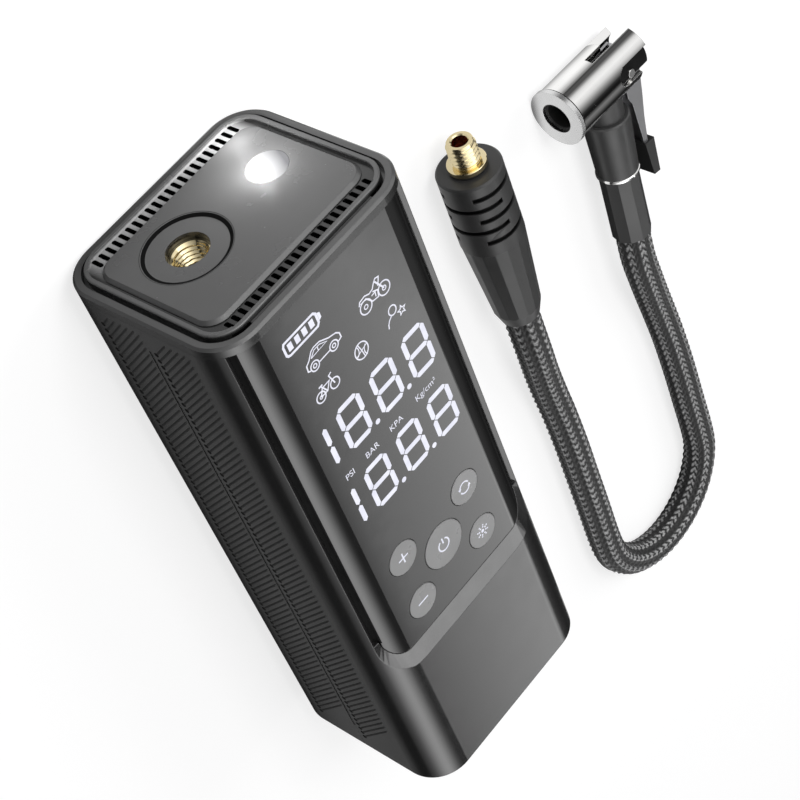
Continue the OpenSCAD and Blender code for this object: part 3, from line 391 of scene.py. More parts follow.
def shell_plastic():
    """Dark semi-gloss housing plastic with a fine grain."""
    s = Shader("shell_plastic", specular=1.0)
    return s.set(
        color=s.clouded(30, grey(36), 0.92, 1.08),
        rough=s.spread(s.noise(6, 3), 0.15, 0.19),
        normal=s.grain(0.3, 0.01, 0.06, 0.3),
    )


def plastic_painted_lit_ends(name, top, side, rough):
    """Semi-gloss plastic with painted light: faces towards +Y are painted paler than its walls, as
    if lit from that end.
    """
    s = Shader(name, specular=1.0)
    facing = s.split(s.node("NewGeometry").outputs["Normal"])["Y"]
    return s.set(
        # painted light and shade: faces towards +Y take the paler top level, the walls the darker
        # side level
        color=s.mix(s.remap(facing, 0.25, 0.8), grey(side), s.clouded(18, grey(top), 0.95, 1.05)),
        rough=s.spread(s.noise(5, 3), rough - 0.02, rough + 0.02),
        normal=s.grain(0.3, 0.01, 0.05, 0.22),
    )


def panel_gloss():
    """Smoked glossy panel with a faint film of dust and fine wipe marks."""
    color = grey(26)
    s = Shader("panel_gloss", specular=0.85)
    return s.set(
        color=s.mix(s.remap(s.noise(22, 3), 0.35, 0.7), color, shade(color, 1.25)),
        rough=s.remap(s.noise(4, 4), 0.35, 0.75, 0.05, 0.10),
        normal=s.bump(s.noise(40, 1), 0.02, 0.15, s.soften(0.2)),
    )


def grille_painted_light():
    """Grille with painted light and shade: a pale rear strip between the corners as if lit, a dark
    front row and dark corners as painted shade, near black slot walls as painted shade, and a mid
    grey ridge.
    """
    s = Shader("grille_painted_light", specular=1.0)
    at = s.split(s.coords)
    facing = s.split(s.node("NewGeometry").outputs["Normal"])["Y"]
    aside = s.math("ABSOLUTE", at["X"])
    front = s.remap(at["Z"], 9.5 * MM, 12 * MM)
    corner = s.remap(aside, 22 * MM, 25 * MM)
    cloud = s.spread(s.noise(12, 3))
    # painted light and shade on the slot floors: the rear strip pale as if lit, the front row and
    # the corners dark as if shaded
    floor_painted_light_and_shade = s.mix(s.math("MAXIMUM", front, corner), s.mix(cloud, grey(158), grey(170)),
                       s.mix(cloud, grey(30), grey(37)))
    tone = s.mix(s.remap(at["Y"], 82.3 * MM, 82.7 * MM), floor_painted_light_and_shade, grey(92))
    # painted shade: the slot walls below the ridge, inside the corners, are near black
    slot_wall_shade = s.remap(s.math("ABSOLUTE", facing), 0.3, 0.6, 1, 0)
    below = s.remap(at["Y"], 81.9 * MM, 82.0 * MM, 1, 0)
    inner = s.remap(aside, 23.4 * MM, 23.6 * MM, 1, 0)
    return s.set(
        color=s.mix(s.times(slot_wall_shade, below, inner), tone, grey(6)),
        rough=s.spread(s.noise(5, 3), 0.22, 0.28),
        normal=s.grain(0.3, 0.01, 0.08, 0.2),
    )


def sleeve_black():
    """Rubbery fitting sleeve, with painted shade: near black inside its grip slots."""
    s = Shader("sleeve_black", specular=0.5)
    at = s.split(s.coords)
    dx = s.math("SUBTRACT", at["X"], FIT_AT.x * MM)
    dz = s.math("SUBTRACT", at["Z"], FIT_AT.z * MM)
    reach = s.math("SQRT", s.math("ADD", s.times(dx, dx), s.times(dz, dz)))
    sunk = s.remap(reach, 8.15 * MM, 8.4 * MM, 1, 0)
    slot_shade_span = s.times(s.remap(at["Y"], 20.0 * MM, 20.2 * MM, 1, 0),
                      s.remap(at["Y"], 0.2 * MM, 0.6 * MM))
    rubber = s.mix(s.spread(s.noise(14, 3)), grey(50), grey(56))
    return s.set(
        # painted shade: inside the grip slots the colour is near black
        color=s.mix(s.times(sunk, slot_shade_span), rubber, grey(4)),
        rough=s.spread(s.noise(5, 3), 0.38, 0.46),
        normal=s.grain(0.3, 0.012, 0.25, 0.15),
    )


def lens_glow():
    """Frosted lens with the lit light behind it, brightest towards the housing's middle."""
    s = Shader("lens_glow", color=(0.05, 0.05, 0.052), glow=1.0)
    at = s.split(s.coords)
    away = s.math("ADD", s.times(at["X"], 0.75), s.times(at["Z"], 0.35))
    return s.set(
        glow_color=s.mix(s.remap(away, 18.6 * MM, 22.8 * MM), (0.98, 0.98, 0.98),
                         (0.14, 0.14, 0.15)),
        rough=s.spread(s.noise(1.5, 2), 0.12, 0.22),
        normal=s.grain(0.8, 0.02, 0.3, 0.2),
    )


def lit_print(name, size, dim, bright):
    """Lit print, with the slight unevenness of the light guide behind it."""
    s = Shader(name, color=(0.03, 0.03, 0.035), rough=0.5, glow=1.0, specular=0.2)
    return s.set(glow_color=s.mix(s.remap(s.noise(size, 2), 0.35, 0.65), dim, bright))


def board_green():
    """Solder mask over copper tracks."""
    s = Shader("board_green", specular=0.5)
    brick = s.node("TexBrick")
    brick.inputs["Scale"].default_value = 1 / (3.2 * MM)
    brick.inputs["Mortar Size"].default_value = 0.03
    s.feed(brick.inputs["Vector"], s.coords)
    tracks = brick.outputs["Fac"]
    return s.set(
        color=s.mix(tracks, (0.012, 0.085, 0.035), (0.03, 0.17, 0.07)),
        rough=s.spread(s.noise(4, 2), 0.25, 0.38),
        normal=s.bump(tracks, 0.03, 0.5),
    )


def cell_wrap():
    """Shrink wrap with fine lengthwise creases."""
    s = Shader("cell_wrap", specular=0.6)
    crease = s.noise(5, 3, (1, 0.12, 1))
    return s.set(
        color=s.mix(s.spread(crease), (0.03, 0.10, 0.22), (0.05, 0.15, 0.30)),
        rough=s.spread(crease, 0.18, 0.3),
        normal=s.bump(crease, 0.05, 0.35),
    )


BRAID_COLUMNS = 16
BRAID_PITCH = 2.55
BRAID_SLOPE = 0.95
BRAID_RELIEF = 0.55


def braid_cloth():
    """Braided sleeve: black yarn with light tracer yarn in every other ridge line."""
    s = Shader("hose_braid", specular=0.35, sheen=0.15)
    uv = s.node("UVMap", uv_map="route")
    place = s.split(uv.outputs[0])
    pair = s.math("FRACT", s.times(place["X"], BRAID_COLUMNS / 2))
    fold = s.math("ABSOLUTE", s.math("SUBTRACT", pair, 0.5))
    phase = s.math("ADD", place["Y"], s.times(fold, 2 * BRAID_SLOPE))
    strand = s.math("ABSOLUTE", s.math("SUBTRACT", s.math("FRACT", phase), 0.5))
    fibre = s.math("SINE", s.times(phase, 2 * math.pi * 5))
    tracer = s.remap(fold, 0.18, 0.31, 1.0, 0.0)
    crown = s.remap(strand, 0.14, 0.38, 1.0, 0.0)
    speck = s.remap(s.noise(0.5, 3), 0.38, 0.62, 0.35, 1.0)
    return s.set(
        color=s.mix(s.times(tracer, crown, speck), s.mix(speck, grey(10), grey(40)), grey(190)),
        rough=s.spread(s.noise(0.6, 2), 0.5, 0.68),
        normal=s.bump(s.noise(0.25, 2), 0.02, 0.5, s.bump(fibre, 0.02, 0.5)),
    )


MATERIALS = {
    "shell_plastic": shell_plastic(),
    "panel_gloss": panel_gloss(),
    "grille": grille_painted_light(),
    # bezel and plate with painted light: +Y faces at the first level, walls at the second
    "grey_plastic": plastic_painted_lit_ends("grey_plastic", 84, 40, 0.22),
    "plate": plastic_painted_lit_ends("plate_plastic", 90, 40, 0.26),
    # ribs darker than the housing: painted shade of the grooves between them
    "rib_painted_shade": moulded("rib_painted_shade", grey(24), 0.45, grain=0.2, edge=0.1),
    # painted shade inside the fitting's bore
    "bore_painted_shade": moulded("bore_painted_shade", (0.10, 0.012, 0.006), 0.35, grain=0.1, edge=0.1),
    "key_plastic": moulded("key_plastic", grey(134), 0.30, grain=0.12, grain_mm=0.25,
                           edge=0.3, specular=0.85),
    "black_plastic": moulded("black_plastic", grey(38), 0.42, grain=0.3, edge=0.2),
    "sleeve_black": sleeve_black(),
    "sleeve_grey": moulded("sleeve_grey", grey(60), 0.36, grain=0.2, edge=0.15),
    "white_plastic": moulded("white_plastic", grey(214), 0.4),
    "gear_plastic": moulded("gear_plastic", (0.62, 0.58, 0.46), 0.4),
    "ring_white": metal("ring_white", (0.70, 0.70, 0.70), 0.26, edge=0.2),
    "board_green": board_green(),
    "lens_glass": lens_glow(),
    "reflector_chrome": metal("reflector_chrome", (0.86, 0.86, 0.88), 0.06),
    "bright_chrome": metal("bright_chrome", (0.90, 0.895, 0.885), 0.05, brushed=(1, 8, 8),
                           spread=0.02, scratch=0.05),
    "steel": metal("steel", (0.52, 0.52, 0.53), 0.34, brushed=(8, 1, 8)),
    "lever_steel": metal("lever_steel", (0.40, 0.40, 0.41), 0.38, brushed=(1, 6, 1)),
    "motor_can": metal("motor_can", (0.55, 0.55, 0.56), 0.3),
    "alloy": metal("alloy", (0.60, 0.60, 0.61), 0.42),
    "cell_wrap": cell_wrap(),
    "brass": metal("brass", (0.89, 0.76, 0.47), 0.13, edge=0.05),
    "seal_rubber": moulded("seal_rubber", grey(22), 0.62, grain=0.4),
    "lit_print": lit_print("lit_print", 3, (0.78, 0.79, 0.90), (0.88, 0.89, 0.98)),
    "key_print": lit_print("key_print", 1, (0.72, 0.73, 0.84), (0.84, 0.85, 0.93)),
    # black: painted shade in grooves, recesses and the barrel's inside, and the real black of the
    # port's tongue and the seam lines
    "black_and_painted_shade": moulded("black_and_painted_shade", grey(5), 0.85, grain=0.2, specular=0.2),
    "braid": braid_cloth(),
}


NODE_FINISH = {
    "shell_plastic": "rear_shell front_shell",
    "panel_gloss": "front_panel",
    "grille": "vent_grille",
    "grey_plastic": "top_bezel",
    "plate": "top_plate",
    "key_plastic": "key_power key_plus key_minus key_lamp key_mode",
    "lens_glass": "lamp_lens",
    "reflector_chrome": "lamp_reflector",
    "board_green": "lamp_board main_board",
    "black_plastic": "display_module key_switches cell_cradle motor_end_cap cooling_fan "
                     "pressure_sensor thumb_pad",
    "cell_wrap": "battery_cells",
    "motor_can": "motor_case",
    "steel": "motor_shaft crank_shaft wrist_pin case_screws pump_screws lever_spring usb_port",
    "brass": "drive_pinion crank_bush outlet_socket hose_fitting valve_depressor",
    "gear_plastic": "crank_gear",
    "alloy": "connecting_rod pump_cylinder cylinder_head pump_frame",
    "white_plastic": "piston sensor_tube air_tube",
    "seal_rubber": "piston_ring fitting_seal chuck_gasket hose_tube",
    "sleeve_black": "fitting_sleeve chuck_neck",
    "sleeve_grey": "chuck_ferrule chuck_sleeve",
    "bright_chrome": "chuck_barrel chuck_ring lever_pin",
    "ring_white": "mouth_ring",
    "lever_steel": "clip_lever",
}


def dress_nodes():
    for finish, names in NODE_FINISH.items():
        for name in names.split():
            for slot in NODES[name].material_slots:
                slot.material = MATERIALS[finish]


# ---- Hose ----

def braid_height(around, along):
    """Relief of the braid, 0 in its valleys and 1 on its crowns."""
    column = around * BRAID_COLUMNS
    index = math.floor(column)
    across = column - index
    lean = across if index % 2 == 0 else 1 - across
    phase = along / BRAID_PITCH + BRAID_SLOPE * lean + (0.5 if index % 2 else 0.0)
    wave = 0.5 - 0.5 * math.cos(2 * math.pi * phase)
    tuck = math.sin(math.pi * across) ** 0.5
    return wave ** 0.7 * (0.35 + 0.65 * tuck)


def make_hose():
    path, length = smooth_route(HOSE_ROUTE, 0.5)
    sides = 96
    up = Vector((0, 0, 1))
    verts = []
    for i, point in enumerate(path):
        tangent = (path[min(i + 1, len(path) - 1)] - path[max(i - 1, 0)]).normalized()
        side = tangent.cross(up).normalized()
        normal = side.cross(tangent)
        along = length * i / (len(path) - 1)
        for k in range(sides):
            around = k / sides
            angle = 2 * math.pi * around
            radius = HOSE_D / 2 - BRAID_RELIEF * (1 - braid_height(around, along))
            verts.append(point + radius * (math.sin(angle) * side + math.cos(angle) * normal))
    faces = []
    uvs = []
    for i in range(len(path) - 1):
        v0, v1 = (length * j / (len(path) - 1) / BRAID_PITCH for j in (i, i + 1))
        for k in range(sides):
            nxt = (k + 1) % sides
            faces.append((i * sides + k, (i + 1) * sides + k, (i + 1) * sides + nxt,
                          i * sides + nxt))
            u0, u1 = k / sides, (k + 1) / sides
            uvs += [(u0, v0), (u0, v1), (u1, v1), (u1, v0)]
    hose = add_mesh("hose_braid", verts, faces, "braid", smooth=True)
    layer = hose.data.uv_layers.new(name="route")
    for i, uv in enumerate(uvs):
        layer.data[i].uv = uv
    return hose, length


def declare_hose():
    on_it = ("fitting_seal fitting_sleeve mouth_ring chuck_gasket valve_depressor chuck_neck "
             "chuck_ferrule chuck_ring chuck_sleeve lever_pin lever_spring").split()
    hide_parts("hose_tube")


# ---- Threads ----

def thread_profile(low, high, root, crest, pitch, run_in):
    """Rows of a threaded length; crest may be smaller than root, for a bore."""
    def radius_at(height):
        fade = min(1.0, max(0.0, (height - low) / run_in), max(0.0, (high - height) / run_in))

        def radius(turn_share):
            phase = height / pitch - turn_share
            flank = 1 - 2 * abs(phase - math.floor(phase) - 0.5)
            return root + (crest - root) * max(0.0, min(1.0, 1.25 * flank - 0.12)) * fade

        return radius

    count = int((high - low) / 0.09)
    heights = [low + (high - low) * i / count for i in range(count + 1)]
    return [(height, radius_at(height)) for height in heights]


def lathe(name, profile, origin, finish, sides=96):
    """Surface of revolution along Y: profile gives (height, radius function or number)."""
    verts = []
    for height, radius in profile:
        for k in range(sides):
            angle = 2 * math.pi * k / sides
            r = radius(k / sides) if callable(radius) else radius
            verts.append((origin[0] + r * math.cos(angle), origin[1] + height,
                          origin[2] - r * math.sin(angle)))
    piece = add_mesh(name, verts, ring_faces(len(profile), sides), finish, smooth=True)
    sharpen(piece)
    return piece


def make_fitting():
    """Brass male fitting: flange, undercut, thread with a lead-in and a bore, with a dark red tube
    in the bore as painted shade.
    """
    base, bore = 20.6, 2.1
    rows = [(base, 4.05), (53.9, 4.05), (53.9, 4.9), (54.05, 5.15), (55.15, 5.15), (55.3, 5.0),
            (55.3, 3.5), (55.5, 3.45)]
    rows += thread_profile(55.5, 61.7, 3.3, 3.87, 1.3, 0.8)
    rows += [(61.9, 3.45), (62.1, 3.25), (62.1, bore + 0.35), (61.8, bore), (base, bore)]
    piece = lathe("fitting_thread", rows, FIT_AT, "brass")
    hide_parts("hose_fitting")
    # painted shade: a dark red tube lines the bore's depth
    lathe("fitting_bore_shade", [(61.2, bore + 0.03), (57.5, bore - 0.03), (57.5, 0.02)], FIT_AT,
          "bore_painted_shade", 48)
    return piece


def make_outlet():
    """Brass outlet with its female thread, seen through the sunken seat."""
    origin = (PORT_X, 0.0, PORT_Z)
    low, neck, bore = 72.5, 4.95, 3.9
    rows = [(low, bore), (low, 5.6), (79.2, 5.6), (79.2, neck), (SOCKET_TOP, neck),
            (SOCKET_TOP, 4.3)]
    rows += reversed(thread_profile(low + 0.1, SOCKET_TOP - 0.4, bore, 3.4, 1.15, 0.7))
    rows += [(low, bore)]
    piece = lathe("outlet_thread", rows, origin, "brass")
    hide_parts("outlet_socket")
    lathe("outlet_flange", [(78.2, 5.6), (78.2, 7.0), (80.2, 7.0), (80.2, neck)], origin,
          "brass", 64)


# ---- Chuck ----

BARREL_R = 7.9
BARREL_IN = 5.6
BARREL_BORE = 2.0
BARREL_ENDS = (-15.6, 13.0)
BARREL_SOLID = (-3.5, 2.5)
POCKET_R = 6.6


def in_chuck(along, across, up):
    """Point of the chuck: along its barrel, across it away from the neck, and up."""
    c, s = math.cos(CHUCK_TURN), math.sin(CHUCK_TURN)
    return (CHUCK_AT.x + along * c - across * s, CHUCK_AT.y + along * s + across * c,
            CHUCK_AT.z + up)


def barrel_skin(along, turn):
    """Inner and outer radius of the barrel at an angle from the top towards the slot's side."""
    solid = BARREL_SOLID[0] < along < BARREL_SOLID[1]
    inner = BARREL_BORE if solid else BARREL_IN
    across = BARREL_R * math.sin(math.radians(turn))
    up = BARREL_R * math.cos(math.radians(turn))
    wide_slot = across > 0 and along > 4 and -5.6 < up < 1.2
    narrow_slot = across > 0 and along > -2.5 and -0.3 < up < 2.1
    round_end = across < -2.6 and abs(up) < 5.2 and along > 10 - math.sqrt(5.2**2 - up * up)
    if wide_slot or round_end or (along > 9.3 and across < -2.1):
        return None
    if narrow_slot:
        return (inner, BARREL_IN) if solid else None
    in_pocket = math.hypot(min(0.0, along - 4.6) / 4.0, (turn - 6) / 23) < 1
    return (inner, POCKET_R if in_pocket else BARREL_R)


def make_barrel():
    """Chrome barrel with its stepped slot, its swing opening and the pocket of the pin. Its inner
    faces, the pocket's floor and the first two rows at its low end take a black finish as painted
    shade.
    """
    low, high = BARREL_ENDS
    rows, turns = 130, 180
    step = (high - low) / rows
    spread = 360 / turns
    skins = [[barrel_skin(low + step * (i + 0.5), -180 + spread * (k + 0.5)) for k in range(turns)]
             for i in range(rows)]
    mesh = bmesh.new()

    def quad(corners, dark=False):
        verts = []
        for i, k, radius in corners:
            a = math.radians(-180 + spread * k)
            place = in_chuck(low + step * i, radius * math.sin(a), radius * math.cos(a))
            verts.append(mesh.verts.new(Vector(place) * MM))
        face = mesh.faces.new(verts)
        face.material_index = 1 if dark else 0
        face.smooth = True

    def walls(first, second, edge):
        """Walls where the first skin has material that the second has not."""
        if first is None:
            return
        spans = [first]
        if second is not None:
            spans = [(first[0], min(second[0], first[1])), (max(second[1], first[0]), first[1])]
        for inner, outer in spans:
            if outer - inner > 1e-6:
                start, end = edge
                quad([(*start, inner), (*end, inner), (*end, outer), (*start, outer)])

    for i in range(rows):
        for k in range(turns):
            skin = skins[i][k]
            for radius in skin or ():
                # painted shade: faces inside the chrome skin and the first two rows take the black
                # finish
                quad([(i, k, radius), (i, k + 1, radius), (i + 1, k + 1, radius),
                      (i + 1, k, radius)], dark=radius < BARREL_R - 0.1 or i < 2)
            beside = skins[i][(k + 1) % turns]
            ahead = skins[i + 1][k] if i < rows - 1 else None
            for other, edge in ((beside, ((i, k + 1), (i + 1, k + 1))),
                                (ahead, ((i + 1, k), (i + 1, k + 1)))):
                walls(skin, other, edge)
                walls(other, skin, edge)
            if i == 0:
                walls(skin, None, ((0, k), (0, k + 1)))
    bmesh.ops.remove_doubles(mesh, verts=mesh.verts, dist=2e-6)
    bmesh.ops.recalc_face_normals(mesh, faces=mesh.faces)
    data = bpy.data.meshes.new("barrel_chrome")
    mesh.to_mesh(data)
    mesh.free()
    data.materials.append(MATERIALS["bright_chrome"])
    data.materials.append(MATERIALS["black_and_painted_shade"])
    piece = add_object("barrel_chrome", data)
    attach(piece, "inflator")
    sharpen(piece)
    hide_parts("chuck_barrel")
    return piece


def add_slab(shape, outline, low, high):
    """Adds a plate of the chuck with the given outline, between two heights."""
    count = len(outline)
    verts = [in_chuck(a, b, z) for z in (low, high) for a, b in outline]
    faces = [tuple(reversed(range(count))), tuple(range(count, 2 * count))]
    faces += [(i, (i + 1) % count, count + (i + 1) % count, count + i) for i in range(count)]
    shape.add(verts, faces)


LEVER_BACK = [
    (10.0, 3.6), (12.4, 0.0), (12.6, -5.0), (11.8, -12.0), (10.6, -20.0), (9.9, -28.5),
]
LEVER_FRONT = [
    (8.6, -28.5), (7.9, -20.0), (7.3, -13.0), (6.2, -10.5), (6.0, -6.0), (6.2, -3.8),
    (2.9, -2.6), (2.7, 3.2),
]


LEVER_SHEET = 0.8
LEVER_HALF = 3.5


def make_lever():
    """Pressed clip lever of thin sheet, folded to a channel, and its moulded thumb pad."""
    inside = []
    for i, (a, b) in enumerate(LEVER_BACK):
        a0, b0 = LEVER_BACK[max(i - 1, 0)]
        a1, b1 = LEVER_BACK[min(i + 1, len(LEVER_BACK) - 1)]
        length = math.hypot(a1 - a0, b1 - b0)
        inside.append((a + (b1 - b0) / length * LEVER_SHEET, b - (a1 - a0) / length * LEVER_SHEET))
    fold = LEVER_HALF - LEVER_SHEET
    lever = Shape()
    add_slab(lever, LEVER_BACK + inside[::-1], -fold, fold)
    for low, high in ((-LEVER_HALF, -fold), (fold, LEVER_HALF)):
        add_slab(lever, LEVER_BACK + LEVER_FRONT, low, high)
    body = lever.piece("lever_sheet", "lever_steel", "steel", "clip")
    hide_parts("clip_lever")
    pad = Shape()
    add_slab(pad, [(8.1, -27.6), (11.8, -27.6), (11.6, -39.2), (9.2, -38.9)], -4.2, 4.2)
    for i in range(4):
        b = -30.0 - 2.2 * i
        add_slab(pad, [(11.5, b), (12.1, b - 0.3), (12.1, b - 0.9), (11.5, b - 1.2)], -3.6, 3.6)
    thumb = pad.piece("lever_pad", "black_plastic", "black_plastic", "clip")
    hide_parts("thumb_pad")
    return [body, thumb]


# ---- Display ----

SEGMENT_W = 1.38
SEGMENT_GAP = 0.14
DIGIT_HALF_W = 3.2
DIGIT_HALF_H = 5.85
DIGIT_XS = (-7.85, 3.25, 14.25)
ONE_X = -15.65
ROW_YS = (39.4, 18.85)
DOT_XS = (-2.55, 8.45)


def add_segment(shape, start, end):
    """Six-sided segment with pointed ends between two corners."""
    a, b = Vector(start), Vector(end)
    along = (b - a).normalized()
    across = Vector((-along.y, along.x)) * SEGMENT_W / 2
    tip = along * SEGMENT_GAP
    shoulder = along * (SEGMENT_GAP + SEGMENT_W / 2)
    shape.fill([a + tip, a + shoulder + across, b - shoulder + across,
                b - tip, b - shoulder - across, a + shoulder - across], on_panel)


def make_figures():
    """Two rows of seven-segment figures, each with a leading one and two dots."""
    shape = Shape()
    for mid in ROW_YS:
        top, low = mid + DIGIT_HALF_H, mid - DIGIT_HALF_H
        for x in DIGIT_XS:
            left, right = x - DIGIT_HALF_W, x + DIGIT_HALF_W
            for y in (top, mid, low):
                add_segment(shape, (left, y), (right, y))
            for side in (left, right):
                add_segment(shape, (side, top), (side, mid))
                add_segment(shape, (side, mid), (side, low))
        add_segment(shape, (ONE_X, top), (ONE_X, mid))
        add_segment(shape, (ONE_X, mid), (ONE_X, low))
        for x in DOT_XS:
            shape.fill(circle(x, low - 0.15, 0.72, steps=16), on_panel)
    shape.piece("display_figures", "lit_print", "white_plastic")


LABELS = [
    ("psi", "PSI", -14.4, 28.2), ("bar", "BAR", -6.85, 28.2), ("kpa", "KPA", 1.5, 28.2),
    ("kgcm", "Kg/cm²", 12.0, 28.5),
]
LABEL_SIZE = 2.415


def make_labels():
    """Unit labels on the panel, their letters turned into meshes."""
    for unit, text, x, y in LABELS:
        name = "label_" + unit
        curve = bpy.data.curves.new(name, "FONT")
        curve.body = text
        curve.size = LABEL_SIZE * MM
        curve.align_x = "CENTER"
        curve.align_y = "CENTER"
        curve.resolution_u = 6
        holder = bpy.data.objects.new(name + "_text", curve)
        mesh = bpy.data.meshes.new_from_object(holder)
        bpy.data.objects.remove(holder)
        mesh.transform(Matrix.Translation(Vector(on_panel(x, y)) * MM))
        mesh.materials.clear()
        mesh.materials.append(MATERIALS["lit_print"])
        piece = add_object(name, mesh)
        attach(piece, "inflator")


def make_icons():
    """Battery and what can be pumped up, drawn with a pen on the panel."""
    shape = Shape()

    def line(points, width=0.34, closed=False):
        shape.stroke(points, width, on_panel, closed)

    def ring(x, y, rx, width=0.34, **extent):
        line(circle(x, y, rx, **extent), width, True)

    # battery with four bars
    line([(-15.5, 68.5), (-15.9, 69.0), (-15.9, 71.4), (-15.5, 72.1), (-6.3, 72.1), (-5.7, 71.5),
          (-5.7, 69.0), (-6.3, 68.3), (-14.9, 68.3)], 0.62, True)
    shape.fill([(-5.35, 69.2), (-4.6, 69.6), (-4.6, 71.0), (-5.35, 71.4)], on_panel)
    for i in range(4):
        x = -14.9 + 2.25 * i
        shape.fill([(x, 69.2), (x + 1.35, 69.2), (x + 1.35, 71.3), (x, 71.3)], on_panel)
    # car
    for x in (-10.85, -4.7):
        ring(x, 60.7, 1.25)
        ring(x, 60.7, 0.5, 0.3, steps=14)
    line([(-12.3, 60.5), (-12.95, 60.9), (-12.8, 62.4), (-11.7, 63.1), (-10.4, 64.6), (-9.4, 65.0),
          (-7.6, 64.9), (-5.2, 63.6), (-3.1, 63.0), (-2.3, 62.2), (-2.25, 60.9), (-3.3, 60.6)])
    line([(-9.4, 60.55), (-6.1, 60.6)])
    line([(-11.0, 63.1), (-9.6, 64.3), (-7.8, 64.3), (-5.9, 63.3), (-11.0, 63.1)], 0.26)
    line([(-8.5, 64.3), (-8.6, 63.2)], 0.26)
    # bicycle
    for x in (-12.7, -8.2):
        ring(x, 52.5, 1.35)
    ring(-12.7, 52.5, 0.4, 0.25, steps=12)
    line([(-12.7, 52.5), (-11.6, 54.3), (-9.3, 54.4), (-10.6, 52.5), (-12.7, 52.5)])
    line([(-10.6, 52.5), (-11.8, 55.0)])
    line([(-12.4, 55.0), (-11.2, 55.05)], 0.42)
    line([(-8.2, 52.5), (-9.0, 55.5), (-8.1, 55.8)])
    # motorcycle
    for x in (6.3, 12.3):
        ring(x, 61.5, 1.75)
        ring(x, 61.5, 0.55, 0.28, steps=12)
    line([(4.7, 63.0), (5.2, 63.9), (6.9, 64.2), (8.2, 63.6), (9.4, 63.9), (10.2, 64.9),
          (11.0, 65.6), (12.0, 65.3), (11.6, 64.4), (11.0, 63.4)])
    line([(5.2, 63.2), (7.0, 63.3), (8.4, 61.2), (10.2, 60.9), (10.6, 62.6), (9.2, 63.3)])
    line([(12.3, 61.5), (11.3, 63.6), (10.6, 65.0)], 0.42)
    line([(8.6, 62.6), (9.8, 62.7), (9.6, 61.5)], 0.3)
    # ball
    ring(0.95, 53.2, 2.0, ry=2.15, steps=36)
    line([(-0.9, 52.6), (1.0, 53.2), (2.85, 53.7)], 0.26)
    line([(0.5, 55.2), (1.0, 53.2), (1.3, 51.1)], 0.26)
    line(circle(-1.6, 54.0, 1.9, start=-55, span=95, steps=24), 0.26)
    line(circle(3.5, 52.3, 1.9, start=125, span=95, steps=24), 0.26)
    # ring, ribbon and star
    ring(12.0, 54.7, 1.15, ry=1.25)
    line([(11.2, 53.6), (10.3, 53.0), (9.7, 52.2), (9.45, 51.2)])
    star = []
    for i in range(10):
        r = 1.25 if i % 2 == 0 else 0.55
        a = math.radians(90 + 36 * i)
        star.append((14.3 + r * math.cos(a), 52.6 + r * math.sin(a)))
    line(star, 0.3, True)
    shape.piece("display_icons", "lit_print", "white_plastic")


KEY_PEN = 0.42
ARROW_R = 1.6


def make_key_marks():
    """Marks of the keys, each given as lines and faces round its key's centre."""
    arrows, heads, rays = [], [], [circle(0, 0, 0.5, steps=16)]
    for start in (20, 200):
        arrows.append(circle(0, 0, ARROW_R, start=start, span=142))
        tip = math.radians(start + 150)
        ahead = Vector((-math.sin(tip), math.cos(tip))) * 0.45
        out = Vector((math.cos(tip), math.sin(tip)))
        base, half = out * ARROW_R - ahead, out * 0.55
        heads.append([base - half, base + half, out * ARROW_R + ahead])
    for i in range(8):
        a = math.radians(22.5 + 45 * i)
        for reach, size in ((1.15, 0.26), (1.75, 0.24)):
            rays.append(circle(reach * math.cos(a), reach * math.sin(a), size, steps=10))
    marks = {
        "key_power": ([circle(0, -0.1, 1.75, start=118, span=304), [(0, 0.35), (0, 2.1)]], []),
        "key_plus": ([[(-1.6, 0), (1.6, 0)], [(0, -1.6), (0, -0.21)], [(0, 0.21), (0, 1.6)]], []),
        "key_minus": ([[(-1.75, 0), (1.75, 0)]], []),
        "key_mode": (arrows, heads),
        "key_lamp": ([], rays),
    }
    for key, (lines, faces) in marks.items():
        x, y = KEYS[key]
        shape = Shape()
        for points in lines:
            shape.stroke([(x + a, y + b) for a, b in points], KEY_PEN, on_key)
        for points in faces:
            shape.fill([(x + a, y + b) for a, b in points], on_key)
        shape.piece(key + "_mark", "key_print", "white_plastic", key)


# ---- Side ribs ----

RIB_PITCH = 2.005
RIB_H = 0.14
RIB_FOOT = 0.42
RIB_TOP = 0.24
RIB_START = 0.7
RIB_END_Y = 77.0
RIB_ROWS = ((74.1, 11.6, 24.0), (72.0, 27.0, 39.5))
DIMPLE_R = 0.62


